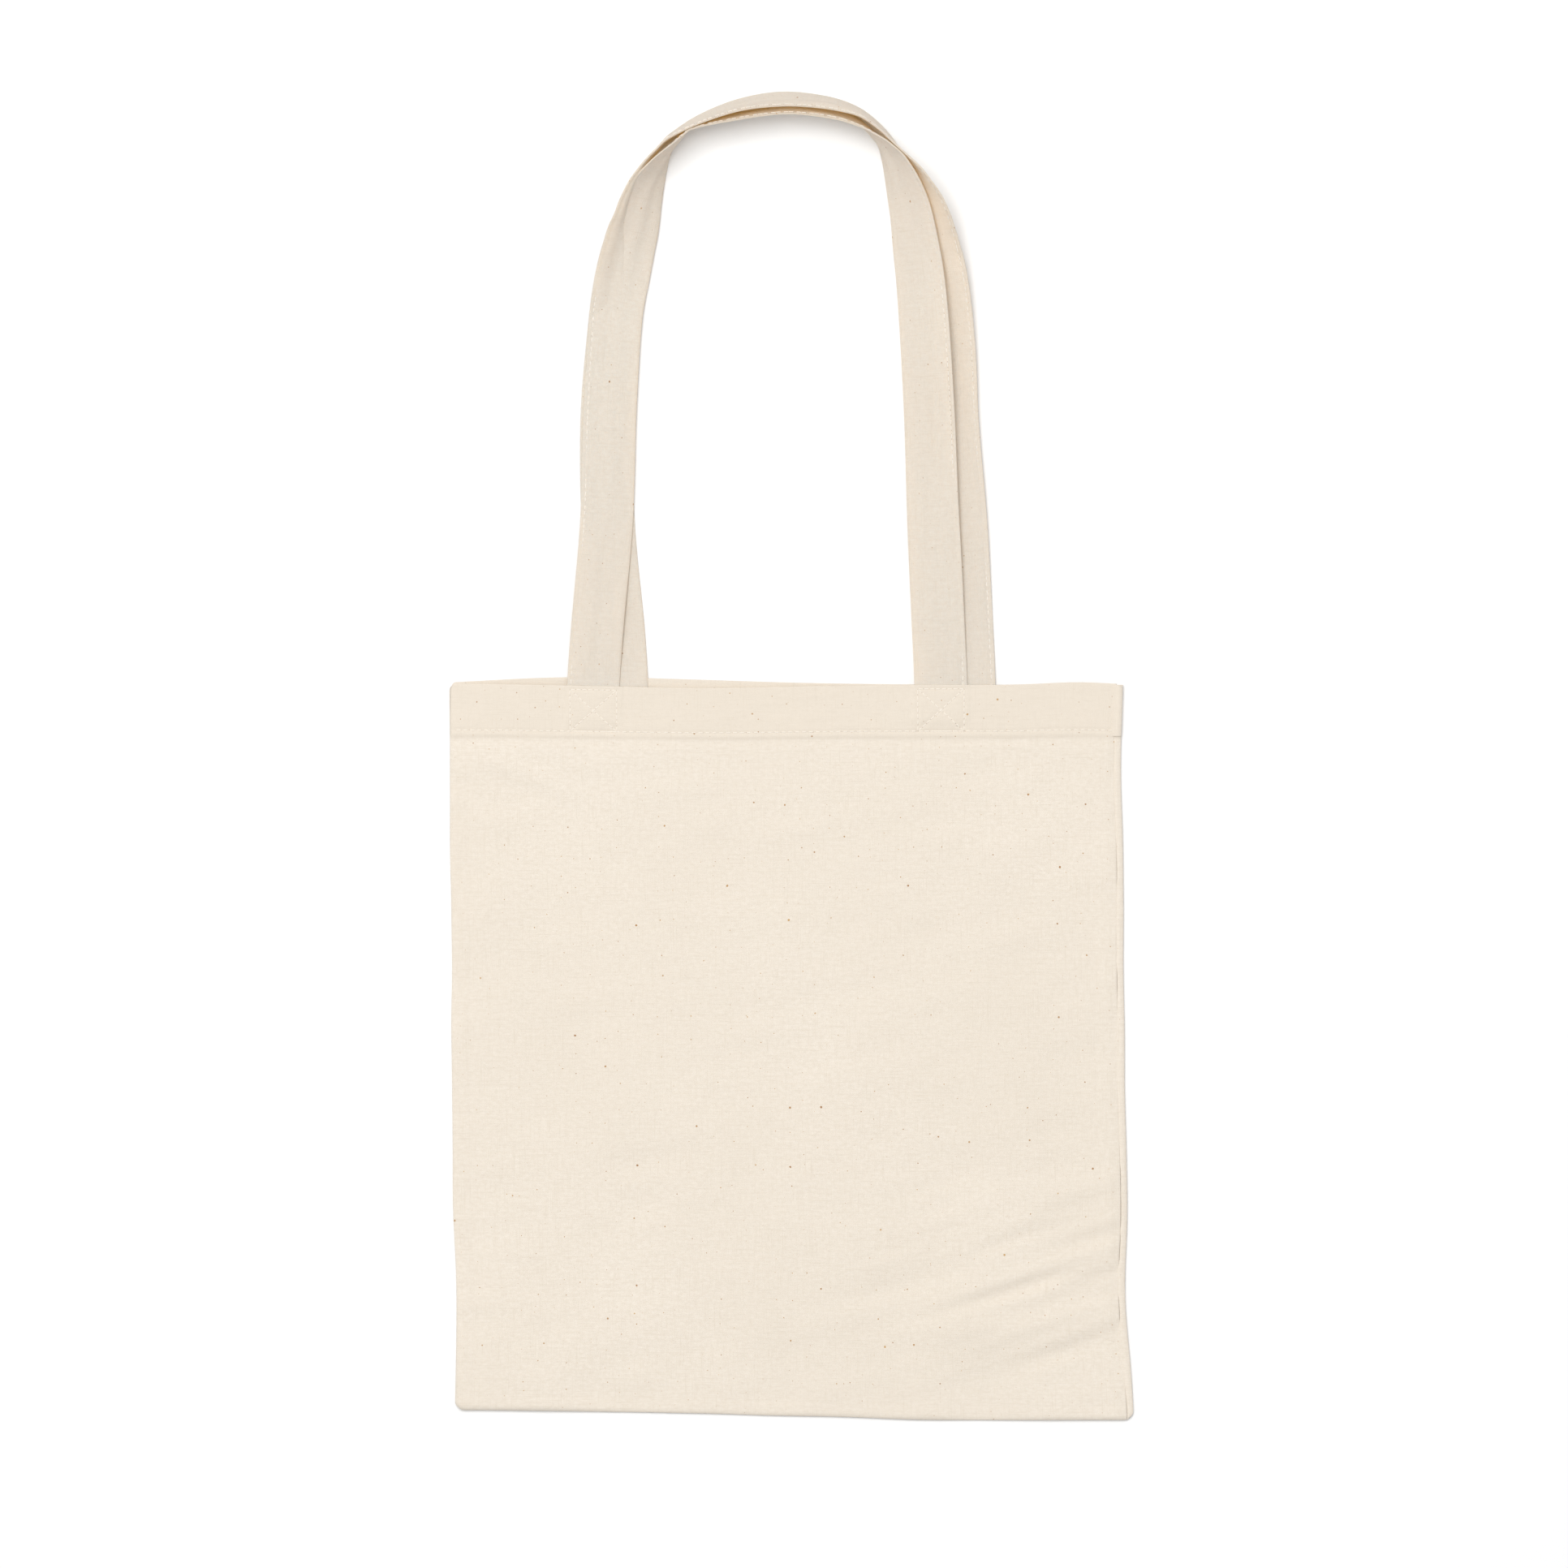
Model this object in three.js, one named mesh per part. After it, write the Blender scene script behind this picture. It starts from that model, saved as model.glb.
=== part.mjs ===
// A plain cotton canvas tote bag, lying flat on its back with its two long handles laid out above the mouth.
// Millimetres. +X runs to the right across the bag, +Y from the bottom seam to the handles, +Z up off the table.
// The pieces are laid out from the middle of the mouth edge; the finished bag is then centred over its own footprint.
import * as THREE from "three";

// ---- driving dimensions ----
const BAG_WIDTH = 382; // across the mouth
const BAG_HEIGHT = 413; // mouth edge to bottom seam
const BAG_DEPTH = 8.4; // how thick the empty bag lies
const CLOTH = 0.6; // one layer of canvas
const STRAP_WIDTH = 30;
const HANDLE_RISE = 333; // mouth edge to the top of the front handle
const HANDLE_SPACING = 197; // between the middles of a handle's two sewn ends
const HEM_DEPTH = 27; // how far the mouth edge is turned inside
const SEAM_ALLOWANCE = 9; // the sewn edges turned inside along the sides and the bottom

// How far cloth strays from square when a bag is laid down by hand.
const BOTTOM_SHIFT = 4.5; // the bottom lies this far to the right of the mouth
const BOTTOM_SPREAD = 1.5; // each bottom corner pulls out this much
const BOTTOM_TILT = 4.6; // the bottom seam drops this much from left to right
const FRONT_HANDLE_SHIFT = -11; // the front handle is sewn on left of the middle
const BACK_HANDLE_SHIFT = 5;

// ---- sizes that follow ----
const GAP = 0.3; // clearance between pieces that touch on the real bag
const THREAD = 0.5; // width of a line of stitching
const THREAD_HEIGHT = 0.4;
const STRAP_THICKNESS = 2 * CLOTH; // a strip of canvas folded double
const MIDDLE = BAG_DEPTH / 2; // height where the front and the back meet
const SHELL = MIDDLE - GAP / 2; // each panel rises this much from the middle, and rounds down to it at its rim
const HEM_FACE = SHELL - 2 * CLOTH - GAP; // inner face of the turned hem, measured from the middle
const END_FACE = HEM_FACE - GAP - STRAP_THICKNESS; // inner face of a sewn strap end
const HEM_STITCH_INSET = 1.3; // the hem stitching runs this far inside the turned edge
const HEM_STITCH_DROP = HEM_DEPTH - HEM_STITCH_INSET;
const END_LENGTH = HEM_STITCH_DROP - THREAD / 2 - GAP; // sewn part of a strap, inside the hem
const HALF_LEG_GAP = (HANDLE_SPACING - STRAP_WIDTH) / 2;
const EDGE_STITCH_INSET = 2.3; // stitching along the open edge of the folded strap
const BACK_HANDLE_FLOOR = 1.5 * GAP; // it leans a little, so its corner comes lower than its inner edge
const FRONT_HANDLE_FLOOR = BACK_HANDLE_FLOOR + STRAP_THICKNESS + THREAD_HEIGHT + 3 * GAP;
const STRAP_DESCENT = 25; // the handles come down from the hem to the table over this length
const BOX_MARGIN = 2; // cloth left round a square of box-and-cross stitching
const SEAM_STITCH_INSET = 1.5; // the joining seam runs this far inside the allowance's outer edge
const OVERLOCK_INSET = 2.5; // middle of the overlocking, in from the raw edge
const OVERLOCK_SWING = 1.6; // half the width of its zigzag
const OVERLOCK_PITCH = 8;
const ROUND_STEPS = 4;

const canvas = { color: 0xeee0cc, roughness: 0.92, metalness: 0 };
const webbing = { color: 0xe4d6c3, roughness: 0.93, metalness: 0 };
const cotton = { color: 0xf4ecdd, roughness: 0.8, metalness: 0 };

// ---- helpers ----

// Where a point of a squarely cut bag ends up once the bag has been laid down.
function lay(x, y) {
  const down = -y / BAG_HEIGHT;
  const across = (2 * x) / BAG_WIDTH;
  return [
    x + down * (BOTTOM_SHIFT + BOTTOM_SPREAD * across),
    y - (down * across * BOTTOM_TILT) / 2,
  ];
}

function mesh(name, geometry, finish) {
  const piece = new THREE.Mesh(geometry, new THREE.MeshStandardMaterial(finish));
  piece.name = name;
  return piece;
}

// A closed surface from triangles given as corner points; it turns the faces outwards and drops collapsed ones.
function closedSurface(triangles) {
  const real = triangles.filter(([a, b, c]) => {
    const area = b.clone().sub(a).cross(c.clone().sub(a)).length();
    return area > 1e-7;
  });
  const volume = real.reduce((sum, [a, b, c]) => sum + a.dot(b.clone().cross(c)), 0);
  const points = real.flatMap(([a, b, c]) => (volume < 0 ? [a, c, b] : [a, b, c]));
  const geometry = new THREE.BufferGeometry().setFromPoints(points);
  geometry.computeVertexNormals();
  return geometry;
}

// A closed outline carried through a row of places: rings[i] holds the outline's points at place i.
function sweep(rings, outline) {
  if (THREE.ShapeUtils.isClockWise(outline)) {
    return sweep(
      rings.map((ring) => [...ring].reverse()),
      [...outline].reverse(),
    );
  }
  const triangles = [];
  for (let i = 0; i + 1 < rings.length; i += 1) {
    rings[i].forEach((a, k) => {
      const next = (k + 1) % rings[i].length;
      const b = rings[i][next];
      const c = rings[i + 1][next];
      const d = rings[i + 1][k];
      triangles.push([a, b, c], [a, c, d]);
    });
  }
  const first = rings[0];
  const last = rings[rings.length - 1];
  THREE.ShapeUtils.triangulateShape(outline, []).forEach(([a, b, c]) => {
    triangles.push([first[c], first[b], first[a]], [last[a], last[b], last[c]]);
  });
  return closedSurface(triangles);
}

// ---- front and back panel ----

// Points of an arc in the outline of a panel: x runs along the bag, y is the height above the middle.
function arc(along, height, radius, from, to, steps) {
  return Array.from({ length: steps + 1 }, (_, i) => {
    const angle = from + ((to - from) * i) / steps;
    return new THREE.Vector2(along + radius * Math.cos(angle), height + radius * Math.sin(angle));
  });
}

// The canvas seen from the side: rounded bottom rim, flat face, mouth edge folded over and the turned hem inside.
function panelOutline() {
  const quarter = Math.PI / 2;
  const rimCentre = SHELL - BAG_HEIGHT;
  const fold = CLOTH + GAP / 2;
  const foldHeight = SHELL - fold;
  return [
    ...arc(rimCentre, 0, SHELL, 2 * quarter, quarter, ROUND_STEPS),
    ...arc(-fold, foldHeight, fold, quarter, -quarter, ROUND_STEPS),
    new THREE.Vector2(-HEM_DEPTH, HEM_FACE),
    new THREE.Vector2(-HEM_DEPTH, HEM_FACE + CLOTH),
    ...arc(-fold, foldHeight, GAP / 2, -quarter, quarter, 2),
    ...arc(rimCentre, 0, SHELL - CLOTH, quarter, 2 * quarter, ROUND_STEPS),
  ];
}

// side is 1 for the front (upper) panel and -1 for the back one.
function panel(side) {
  const outline = panelOutline();
  const flatHalf = BAG_WIDTH / 2 - SHELL;
  const rings = [];
  for (const edge of [-1, 1]) {
    for (let i = 0; i <= ROUND_STEPS; i += 1) {
      const share = edge < 0 ? i / ROUND_STEPS : 1 - i / ROUND_STEPS;
      const angle = (share * Math.PI) / 2;
      rings.push(
        outline.map((p) => {
          const [x, y] = lay(edge * (flatHalf + p.y * Math.cos(angle)), p.x);
          return new THREE.Vector3(x, y, MIDDLE + side * (GAP / 2 + p.y * Math.sin(angle)));
        }),
      );
    }
  }
  return sweep(rings, outline);
}

// ---- stitching and allowances on the body ----

// A straight bar from one plan point to another, laid down with the cloth.
function bar(x0, y0, x1, y1, width, low, high) {
  const along = new THREE.Vector2(x1 - x0, y1 - y0).normalize();
  const side = new THREE.Vector2(-along.y, along.x).multiplyScalar(width / 2);
  const outline = [
    new THREE.Vector2(-1, low),
    new THREE.Vector2(1, low),
    new THREE.Vector2(1, high),
    new THREE.Vector2(-1, high),
  ];
  const rings = [
    [x0, y0],
    [x1, y1],
  ].map(([x, y]) =>
    outline.map((p) => {
      const [laidX, laidY] = lay(x + side.x * p.x, y + side.y * p.x);
      return new THREE.Vector3(laidX, laidY, p.y);
    }),
  );
  return sweep(rings, outline);
}

// One row of stitching across the mouth, as a continuous bead of thread.
function hemStitching(low) {
  const reach = BAG_WIDTH / 2 - SHELL;
  return bar(-reach, -HEM_STITCH_DROP, reach, -HEM_STITCH_DROP, THREAD, low, low + THREAD_HEIGHT);
}

// A square of stitching with both diagonals: a plate with four triangular windows.
function boxAndCross(centreX, low) {
  const top = -BOX_MARGIN;
  const bottom = -END_LENGTH;
  const halfWidth = STRAP_WIDTH / 2 - BOX_MARGIN;
  const halfHeight = (top - bottom) / 2;
  const centreY = (top + bottom) / 2;
  const plate = new THREE.Shape([
    new THREE.Vector2(-halfWidth, -halfHeight),
    new THREE.Vector2(halfWidth, -halfHeight),
    new THREE.Vector2(halfWidth, halfHeight),
    new THREE.Vector2(-halfWidth, halfHeight),
  ]);
  const slope = Math.hypot(halfWidth, halfHeight);
  const tip = (THREAD * slope) / 2;
  for (const sign of [-1, 1]) {
    // windows left and right, then below and above
    const sideIn = halfWidth - THREAD;
    const sideHalf = (halfHeight * (sideIn - tip / halfHeight)) / halfWidth;
    plate.holes.push(
      new THREE.Path([
        new THREE.Vector2((sign * tip) / halfHeight, 0),
        new THREE.Vector2(sign * sideIn, -sideHalf),
        new THREE.Vector2(sign * sideIn, sideHalf),
      ]),
    );
    const endIn = halfHeight - THREAD;
    const endHalf = (halfWidth * (endIn - tip / halfWidth)) / halfHeight;
    plate.holes.push(
      new THREE.Path([
        new THREE.Vector2(0, (sign * tip) / halfWidth),
        new THREE.Vector2(-endHalf, sign * endIn),
        new THREE.Vector2(endHalf, sign * endIn),
      ]),
    );
  }
  const geometry = new THREE.ExtrudeGeometry(plate, { depth: THREAD_HEIGHT, bevelEnabled: false });
  return geometry.translate(centreX, centreY, low);
}

// The end of a strap that is sewn flat against the inside of the hem.
function strapEnd(centreX, low) {
  const geometry = new THREE.BoxGeometry(STRAP_WIDTH, END_LENGTH - GAP, STRAP_THICKNESS);
  return geometry.translate(centreX, -(END_LENGTH + GAP) / 2, low + STRAP_THICKNESS / 2);
}

const ALLOWANCE_RIM = BAG_WIDTH / 2 - CLOTH - GAP; // outer edge of the side allowances
const ALLOWANCE_TOP = -HEM_DEPTH - GAP;
const BOTTOM_ALLOWANCE_EDGE = CLOTH + GAP - BAG_HEIGHT;
const SIDE_ALLOWANCE_FOOT = BOTTOM_ALLOWANCE_EDGE + SEAM_ALLOWANCE + 2 * GAP;
const ALLOWANCE_LOW = MIDDLE - CLOTH; // two layers, lying at the middle height
const ALLOWANCE_HIGH = MIDDLE + CLOTH;

function sideAllowance(side) {
  const x = side * (ALLOWANCE_RIM - SEAM_ALLOWANCE / 2);
  return bar(x, SIDE_ALLOWANCE_FOOT, x, ALLOWANCE_TOP, SEAM_ALLOWANCE, ALLOWANCE_LOW, ALLOWANCE_HIGH);
}

function bottomAllowance() {
  const y = BOTTOM_ALLOWANCE_EDGE + SEAM_ALLOWANCE / 2;
  const reach = ALLOWANCE_RIM - SHELL;
  return bar(-reach, y, reach, y, SEAM_ALLOWANCE, ALLOWANCE_LOW, ALLOWANCE_HIGH);
}

// Overlock thread over a raw edge: a zigzag ribbon between start and end, on the upper side of the allowance.
function overlock(startX, startY, endX, endY) {
  const start = new THREE.Vector2(startX, startY);
  const end = new THREE.Vector2(endX, endY);
  const turns = Math.round(start.distanceTo(end) / OVERLOCK_PITCH) * 2;
  const along = end.clone().sub(start).normalize();
  const across = new THREE.Vector2(-along.y, along.x);
  const low = ALLOWANCE_HIGH + GAP;
  const outline = [
    new THREE.Vector2(-1, low),
    new THREE.Vector2(1, low),
    new THREE.Vector2(1, low + THREAD_HEIGHT),
    new THREE.Vector2(-1, low + THREAD_HEIGHT),
  ];
  const rings = Array.from({ length: turns + 1 }, (_, i) => {
    const centre = start.clone().lerp(end, i / turns);
    centre.addScaledVector(across, i % 2 ? OVERLOCK_SWING : -OVERLOCK_SWING);
    return outline.map((p) => {
      const [x, y] = lay(centre.x + across.x * p.x * THREAD, centre.y + across.y * p.x * THREAD);
      return new THREE.Vector3(x, y, p.y);
    });
  });
  return sweep(rings, outline);
}

// The lockstitch that joins front and back, seen on the allowance a little inside the rim.
function sideSeamStitching(side) {
  const x = side * (ALLOWANCE_RIM - SEAM_STITCH_INSET);
  const low = ALLOWANCE_HIGH + GAP;
  return bar(x, SIDE_ALLOWANCE_FOOT, x, ALLOWANCE_TOP, THREAD, low, low + THREAD_HEIGHT);
}

function bottomSeamStitching() {
  const y = BOTTOM_ALLOWANCE_EDGE + SEAM_STITCH_INSET;
  const reach = ALLOWANCE_RIM - SHELL;
  const low = ALLOWANCE_HIGH + GAP;
  return bar(-reach, y, reach, y, THREAD, low, low + THREAD_HEIGHT);
}

// ---- handles ----

// Each handle is laid out by the line its inner edge follows, leg to leg, and by how far the strap is turned up
// on that edge. A station is [across, up, turn]: across in half leg gaps, up in handle rises, turn in degrees.
const FRONT_STATIONS = [
  [-1, 0, 0],
  [-0.91, 0.28, 0],
  [-0.9, 0.47, 2],
  [-0.85, 0.62, 8],
  [-0.775, 0.755, 20],
  [-0.705, 0.85, 38],
  [-0.66, 0.915, 78],
  [-0.55, 0.955, 98],
  [-0.25, 0.985, 103],
  [0.14, 1, 105],
  [0.5, 0.985, 103],
  [0.675, 0.955, 96],
  [0.735, 0.915, 78],
  [0.79, 0.85, 46],
  [0.84, 0.755, 24],
  [0.88, 0.68, 10],
  [0.93, 0.47, 1],
  [1, 0, 0],
];
const BACK_STATIONS = [
  [-1, 0, 0],
  [-1.09, 0.28, 0],
  [-1.1, 0.47, 2],
  [-1.045, 0.62, 4],
  [-0.985, 0.755, 13],
  [-0.955, 0.85, 33],
  [-0.915, 0.925, 79],
  [-0.77, 0.967, 92],
  [-0.38, 1.006, 96],
  [-0.08, 1.019, 97],
  [0.3, 1.006, 96],
  [0.55, 0.969, 93],
  [0.72, 0.9, 86],
  [0.8, 0.85, 52],
  [0.855, 0.755, 26],
  [0.89, 0.68, 12],
  [0.93, 0.47, 1],
  [1, 0, 0],
];
const LOOP_STEPS = 64;

// Places along a handle: the point on its inner edge, the direction across the strap and the way its face looks.
function handlePlaces(stations, shift, rootHeight, floorHeight) {
  const points = stations.map(
    ([across, up, turn]) =>
      new THREE.Vector3(shift + across * HALF_LEG_GAP, GAP + up * (HANDLE_RISE - GAP), turn),
  );
  const curve = new THREE.CatmullRomCurve3(points, false, "centripetal");
  return Array.from({ length: LOOP_STEPS + 1 }, (_, i) => {
    const point = curve.getPointAt(i / LOOP_STEPS);
    const ahead = curve.getTangentAt(i / LOOP_STEPS).setZ(0).normalize();
    const turn = THREE.MathUtils.degToRad(point.z);
    const descent = THREE.MathUtils.smoothstep(point.y, GAP, STRAP_DESCENT);
    const height = THREE.MathUtils.lerp(rootHeight, floorHeight, descent);
    // The strap leaves the mouth square to its edge, then follows its own line.
    const square = new THREE.Vector3(Math.sign(-ahead.y), 0, 0);
    const outward = square.lerp(new THREE.Vector3(-ahead.y, ahead.x, 0), descent).normalize();
    return {
      edge: new THREE.Vector3(point.x, point.y, height),
      across: outward.clone().multiplyScalar(Math.cos(turn)).setZ(Math.sin(turn)),
      face: outward.clone().multiplyScalar(-Math.sin(turn)).setZ(Math.cos(turn)),
    };
  });
}

// A ribbon along a handle. In its outline x is measured across the strap and y above the strap's lower face.
function ribbon(places, corners) {
  const outline = corners.map(([x, y]) => new THREE.Vector2(x, y));
  const rings = places.map(({ edge, across, face }) =>
    outline.map((p) => edge.clone().addScaledVector(across, p.x).addScaledVector(face, p.y)),
  );
  return sweep(rings, outline);
}

const STITCH_OUT = STRAP_WIDTH - EDGE_STITCH_INSET;
const STITCH_IN = STITCH_OUT - THREAD;

// The upper face has a narrow strip of its own under the stitching, so that the two twist alike.
function strapLoop(places) {
  return ribbon(places, [
    [0, 0],
    [STRAP_WIDTH, 0],
    [STRAP_WIDTH, STRAP_THICKNESS],
    [STITCH_OUT, STRAP_THICKNESS],
    [STITCH_IN, STRAP_THICKNESS],
    [0, STRAP_THICKNESS],
  ]);
}

function strapEdgeStitching(places) {
  const low = STRAP_THICKNESS + GAP;
  return ribbon(places, [
    [STITCH_IN, low],
    [STITCH_OUT, low],
    [STITCH_OUT, low + THREAD_HEIGHT],
    [STITCH_IN, low + THREAD_HEIGHT],
  ]);
}

// ---- the bag ----

const frontEndLow = MIDDLE + GAP / 2 + END_FACE;
const backEndLow = MIDDLE - GAP / 2 - END_FACE - STRAP_THICKNESS;
const frontPlaces = handlePlaces(FRONT_STATIONS, FRONT_HANDLE_SHIFT, frontEndLow, FRONT_HANDLE_FLOOR);
const backPlaces = handlePlaces(BACK_STATIONS, BACK_HANDLE_SHIFT, backEndLow, BACK_HANDLE_FLOOR);
const onFrontFace = BAG_DEPTH + GAP;
const onBackHem = MIDDLE - GAP / 2 - HEM_FACE + GAP;
const onBackEnds = MIDDLE - GAP / 2 - END_FACE + GAP;

const bag = new THREE.Group();
bag.add(mesh("front_panel", panel(1), canvas));
bag.add(mesh("back_panel", panel(-1), canvas));
bag.add(mesh("front_hem_stitching", hemStitching(onFrontFace), cotton));
bag.add(mesh("back_hem_stitching", hemStitching(onBackHem), cotton));

for (const [sideName, side] of [["left", -1], ["right", 1]]) {
  const frontX = FRONT_HANDLE_SHIFT + (side * HANDLE_SPACING) / 2;
  const backX = BACK_HANDLE_SHIFT + (side * HANDLE_SPACING) / 2;
  bag.add(mesh(`front_handle_${sideName}_end`, strapEnd(frontX, frontEndLow), webbing));
  bag.add(mesh(`back_handle_${sideName}_end`, strapEnd(backX, backEndLow), webbing));
  bag.add(mesh(`front_handle_${sideName}_box_stitching`, boxAndCross(frontX, onFrontFace), cotton));
  bag.add(mesh(`back_handle_${sideName}_box_stitching`, boxAndCross(backX, onBackEnds), cotton));
  bag.add(mesh(`${sideName}_seam_allowance`, sideAllowance(side), canvas));
  bag.add(mesh(`${sideName}_seam_stitching`, sideSeamStitching(side), cotton));
  const rawEdge = side * (ALLOWANCE_RIM - SEAM_ALLOWANCE + OVERLOCK_INSET);
  const overlocking = overlock(rawEdge, SIDE_ALLOWANCE_FOOT + THREAD, rawEdge, ALLOWANCE_TOP - THREAD);
  bag.add(mesh(`${sideName}_seam_overlocking`, overlocking, cotton));
}

bag.add(mesh("bottom_seam_allowance", bottomAllowance(), canvas));
bag.add(mesh("bottom_seam_stitching", bottomSeamStitching(), cotton));
const bottomRawEdge = BOTTOM_ALLOWANCE_EDGE + SEAM_ALLOWANCE - OVERLOCK_INSET;
const bottomReach = ALLOWANCE_RIM - SHELL - THREAD;
const bottomOverlocking = overlock(-bottomReach, bottomRawEdge, bottomReach, bottomRawEdge);
bag.add(mesh("bottom_seam_overlocking", bottomOverlocking, cotton));

bag.add(mesh("front_handle", strapLoop(frontPlaces), webbing));
bag.add(mesh("front_handle_edge_stitching", strapEdgeStitching(frontPlaces), cotton));
bag.add(mesh("back_handle", strapLoop(backPlaces), webbing));
bag.add(mesh("back_handle_edge_stitching", strapEdgeStitching(backPlaces), cotton));

// Centre the bag over its own footprint, resting on z = 0.
const outer = new THREE.Box3().setFromObject(bag);
const centre = outer.getCenter(new THREE.Vector3());
bag.position.set(-centre.x, -centre.y, -outer.min.z);

const root = new THREE.Group();
root.name = "tote_bag";
root.add(bag);

export default root;
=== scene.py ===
# %% [markdown]
# # A plain cotton tote bag, laid flat
#
# The bag is two pieces of unbleached canvas, sewn together on three sides, with two long handles folded
# from the same cloth. It lies on its back, its handles laid out above the mouth. Cloth like this could be
# left to a cloth simulation, but that gives other folds each time. Here each panel starts as it is cut, a
# flat grid, and is then folded, laid down and rumpled by a few formulas. Lengths are in metres, on the same
# frame as the construction model: X across the bag, Y towards the handles.

# %% Tools and frame
import math

import bpy
import numpy as np
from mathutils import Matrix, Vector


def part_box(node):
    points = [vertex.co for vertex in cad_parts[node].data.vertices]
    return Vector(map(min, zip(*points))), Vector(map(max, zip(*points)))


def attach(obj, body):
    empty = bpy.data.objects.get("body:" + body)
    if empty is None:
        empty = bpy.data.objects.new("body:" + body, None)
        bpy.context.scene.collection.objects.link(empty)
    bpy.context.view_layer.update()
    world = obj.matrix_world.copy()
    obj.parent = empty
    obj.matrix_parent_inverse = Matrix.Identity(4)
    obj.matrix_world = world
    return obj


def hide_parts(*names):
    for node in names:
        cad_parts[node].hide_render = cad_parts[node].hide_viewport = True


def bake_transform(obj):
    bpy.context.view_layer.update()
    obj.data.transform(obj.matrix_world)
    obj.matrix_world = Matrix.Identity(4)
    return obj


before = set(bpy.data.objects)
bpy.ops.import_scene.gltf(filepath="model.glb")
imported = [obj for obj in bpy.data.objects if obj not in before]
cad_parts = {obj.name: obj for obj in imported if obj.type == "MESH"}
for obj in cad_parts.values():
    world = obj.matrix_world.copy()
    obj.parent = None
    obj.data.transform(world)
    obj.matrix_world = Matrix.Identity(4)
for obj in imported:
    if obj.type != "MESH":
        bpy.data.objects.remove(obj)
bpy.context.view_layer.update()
MM = 0.001

# %% [markdown]
# ## Measures
# The construction model gives the size of the bag and the places of the strap ends. The rest is how cloth
# lies: the bottom has slid a little to the right, and its right corner is pulled out and down.

# %% Measures taken from the frame
panel_low, panel_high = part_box("front_panel")
end_boxes = {
    (side, hand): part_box(f"{side}_handle_{hand}_end")
    for side in ("front", "back")
    for hand in ("left", "right")
}
SHIFT = 4.5 * MM  # how far the bottom has slid to the right
SPREAD = 1.5 * MM  # how much further its corners stand apart
TILT = 4.6 * MM  # how much lower its right corner lies than its left one
MOUTH_LEFT = panel_low.x
MOUTH_RIGHT = panel_high.x - SHIFT - SPREAD
MIDDLE = (MOUTH_LEFT + MOUTH_RIGHT) / 2
WIDTH = MOUTH_RIGHT - MOUTH_LEFT
MOUTH = panel_high.y
HEIGHT = MOUTH - panel_low.y - TILT / 2
HEM = 30 * MM
HEM_ROW = 25.7 * MM  # the row of hem stitches, below the mouth edge
ALLOWANCE = 9 * MM
STRAP = end_boxes["front", "left"][1].x - end_boxes["front", "left"][0].x
END = MOUTH - end_boxes["front", "left"][0].y
SEAM_WRAP = 3.5 * MM  # how far the back panel shows on the front, along the right seam
print("bag", round(WIDTH, 3), "by", round(HEIGHT, 3), "strap", round(STRAP, 4))

# %% [markdown]
# ## Helpers for cloth
# Soft noise is a lattice of random heights, smoothly joined. Bumps and steps are small formulas that work on
# whole arrays of points at once, so a sheet of sixty thousand points is shaped in one go.


# %% Soft noise, steps and bumps
LATTICE = 64


def ease(t):
    """A smooth step from 0 to 1."""
    t = np.clip(t, 0, 1)
    return t * t * (3 - 2 * t)


def bump(x, centre, width):
    """A round hill of height 1."""
    return np.exp(-(((x - centre) / width) ** 2))


def soft_noise(x, y, size_x, size_y, seed, turn=0.0):
    """Smooth hills and hollows of about the given sizes, between -1 and 1."""
    table = np.random.default_rng(seed).uniform(-1, 1, (LATTICE, LATTICE))
    c, s = math.cos(turn), math.sin(turn)
    u = (c * x + s * y) / size_x + 40.3
    v = (c * y - s * x) / size_y + 40.7
    i = np.floor(u).astype(int)
    j = np.floor(v).astype(int)
    fu = ease(u - i)
    fv = ease(v - j)
    i, next_i = i % LATTICE, (i + 1) % LATTICE
    j, next_j = j % LATTICE, (j + 1) % LATTICE
    row = table[i, j] * (1 - fu) + table[next_i, j] * fu
    next_row = table[i, next_j] * (1 - fu) + table[next_i, next_j] * fu
    return row * (1 - fv) + next_row * fv


def spaced(stops):
    """Positions along a cut edge, from stops of (position, spacing after it)."""
    places = [stops[0][0]]
    for (start, step), (end, _) in zip(stops, stops[1:]):
        count = max(1, round((end - start) / step))
        places += [start + (end - start) * i / count for i in range(1, count + 1)]
    return np.array(places)


# %% [markdown]
# ## How the bag lies
# The bag is cut square, but it never lies square: its right side bows in, its bottom sags and its edges
# waver. Bending finished meshes would bend each piece a little differently. So one function says where any
# point of the square bag comes to lie, and the panels, the stitches and the inner seams all go through it.


# %% Where a squarely cut bag comes to lie
def corner_pull(from_side, from_end, radius):
    """How far a point near a square corner is pulled in along each edge, to round the corner."""
    a = np.clip(1 - from_side / radius, 0, 1)
    b = np.clip(1 - from_end / radius, 0, 1)
    return 0.36 * radius * a * a * b * b


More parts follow.
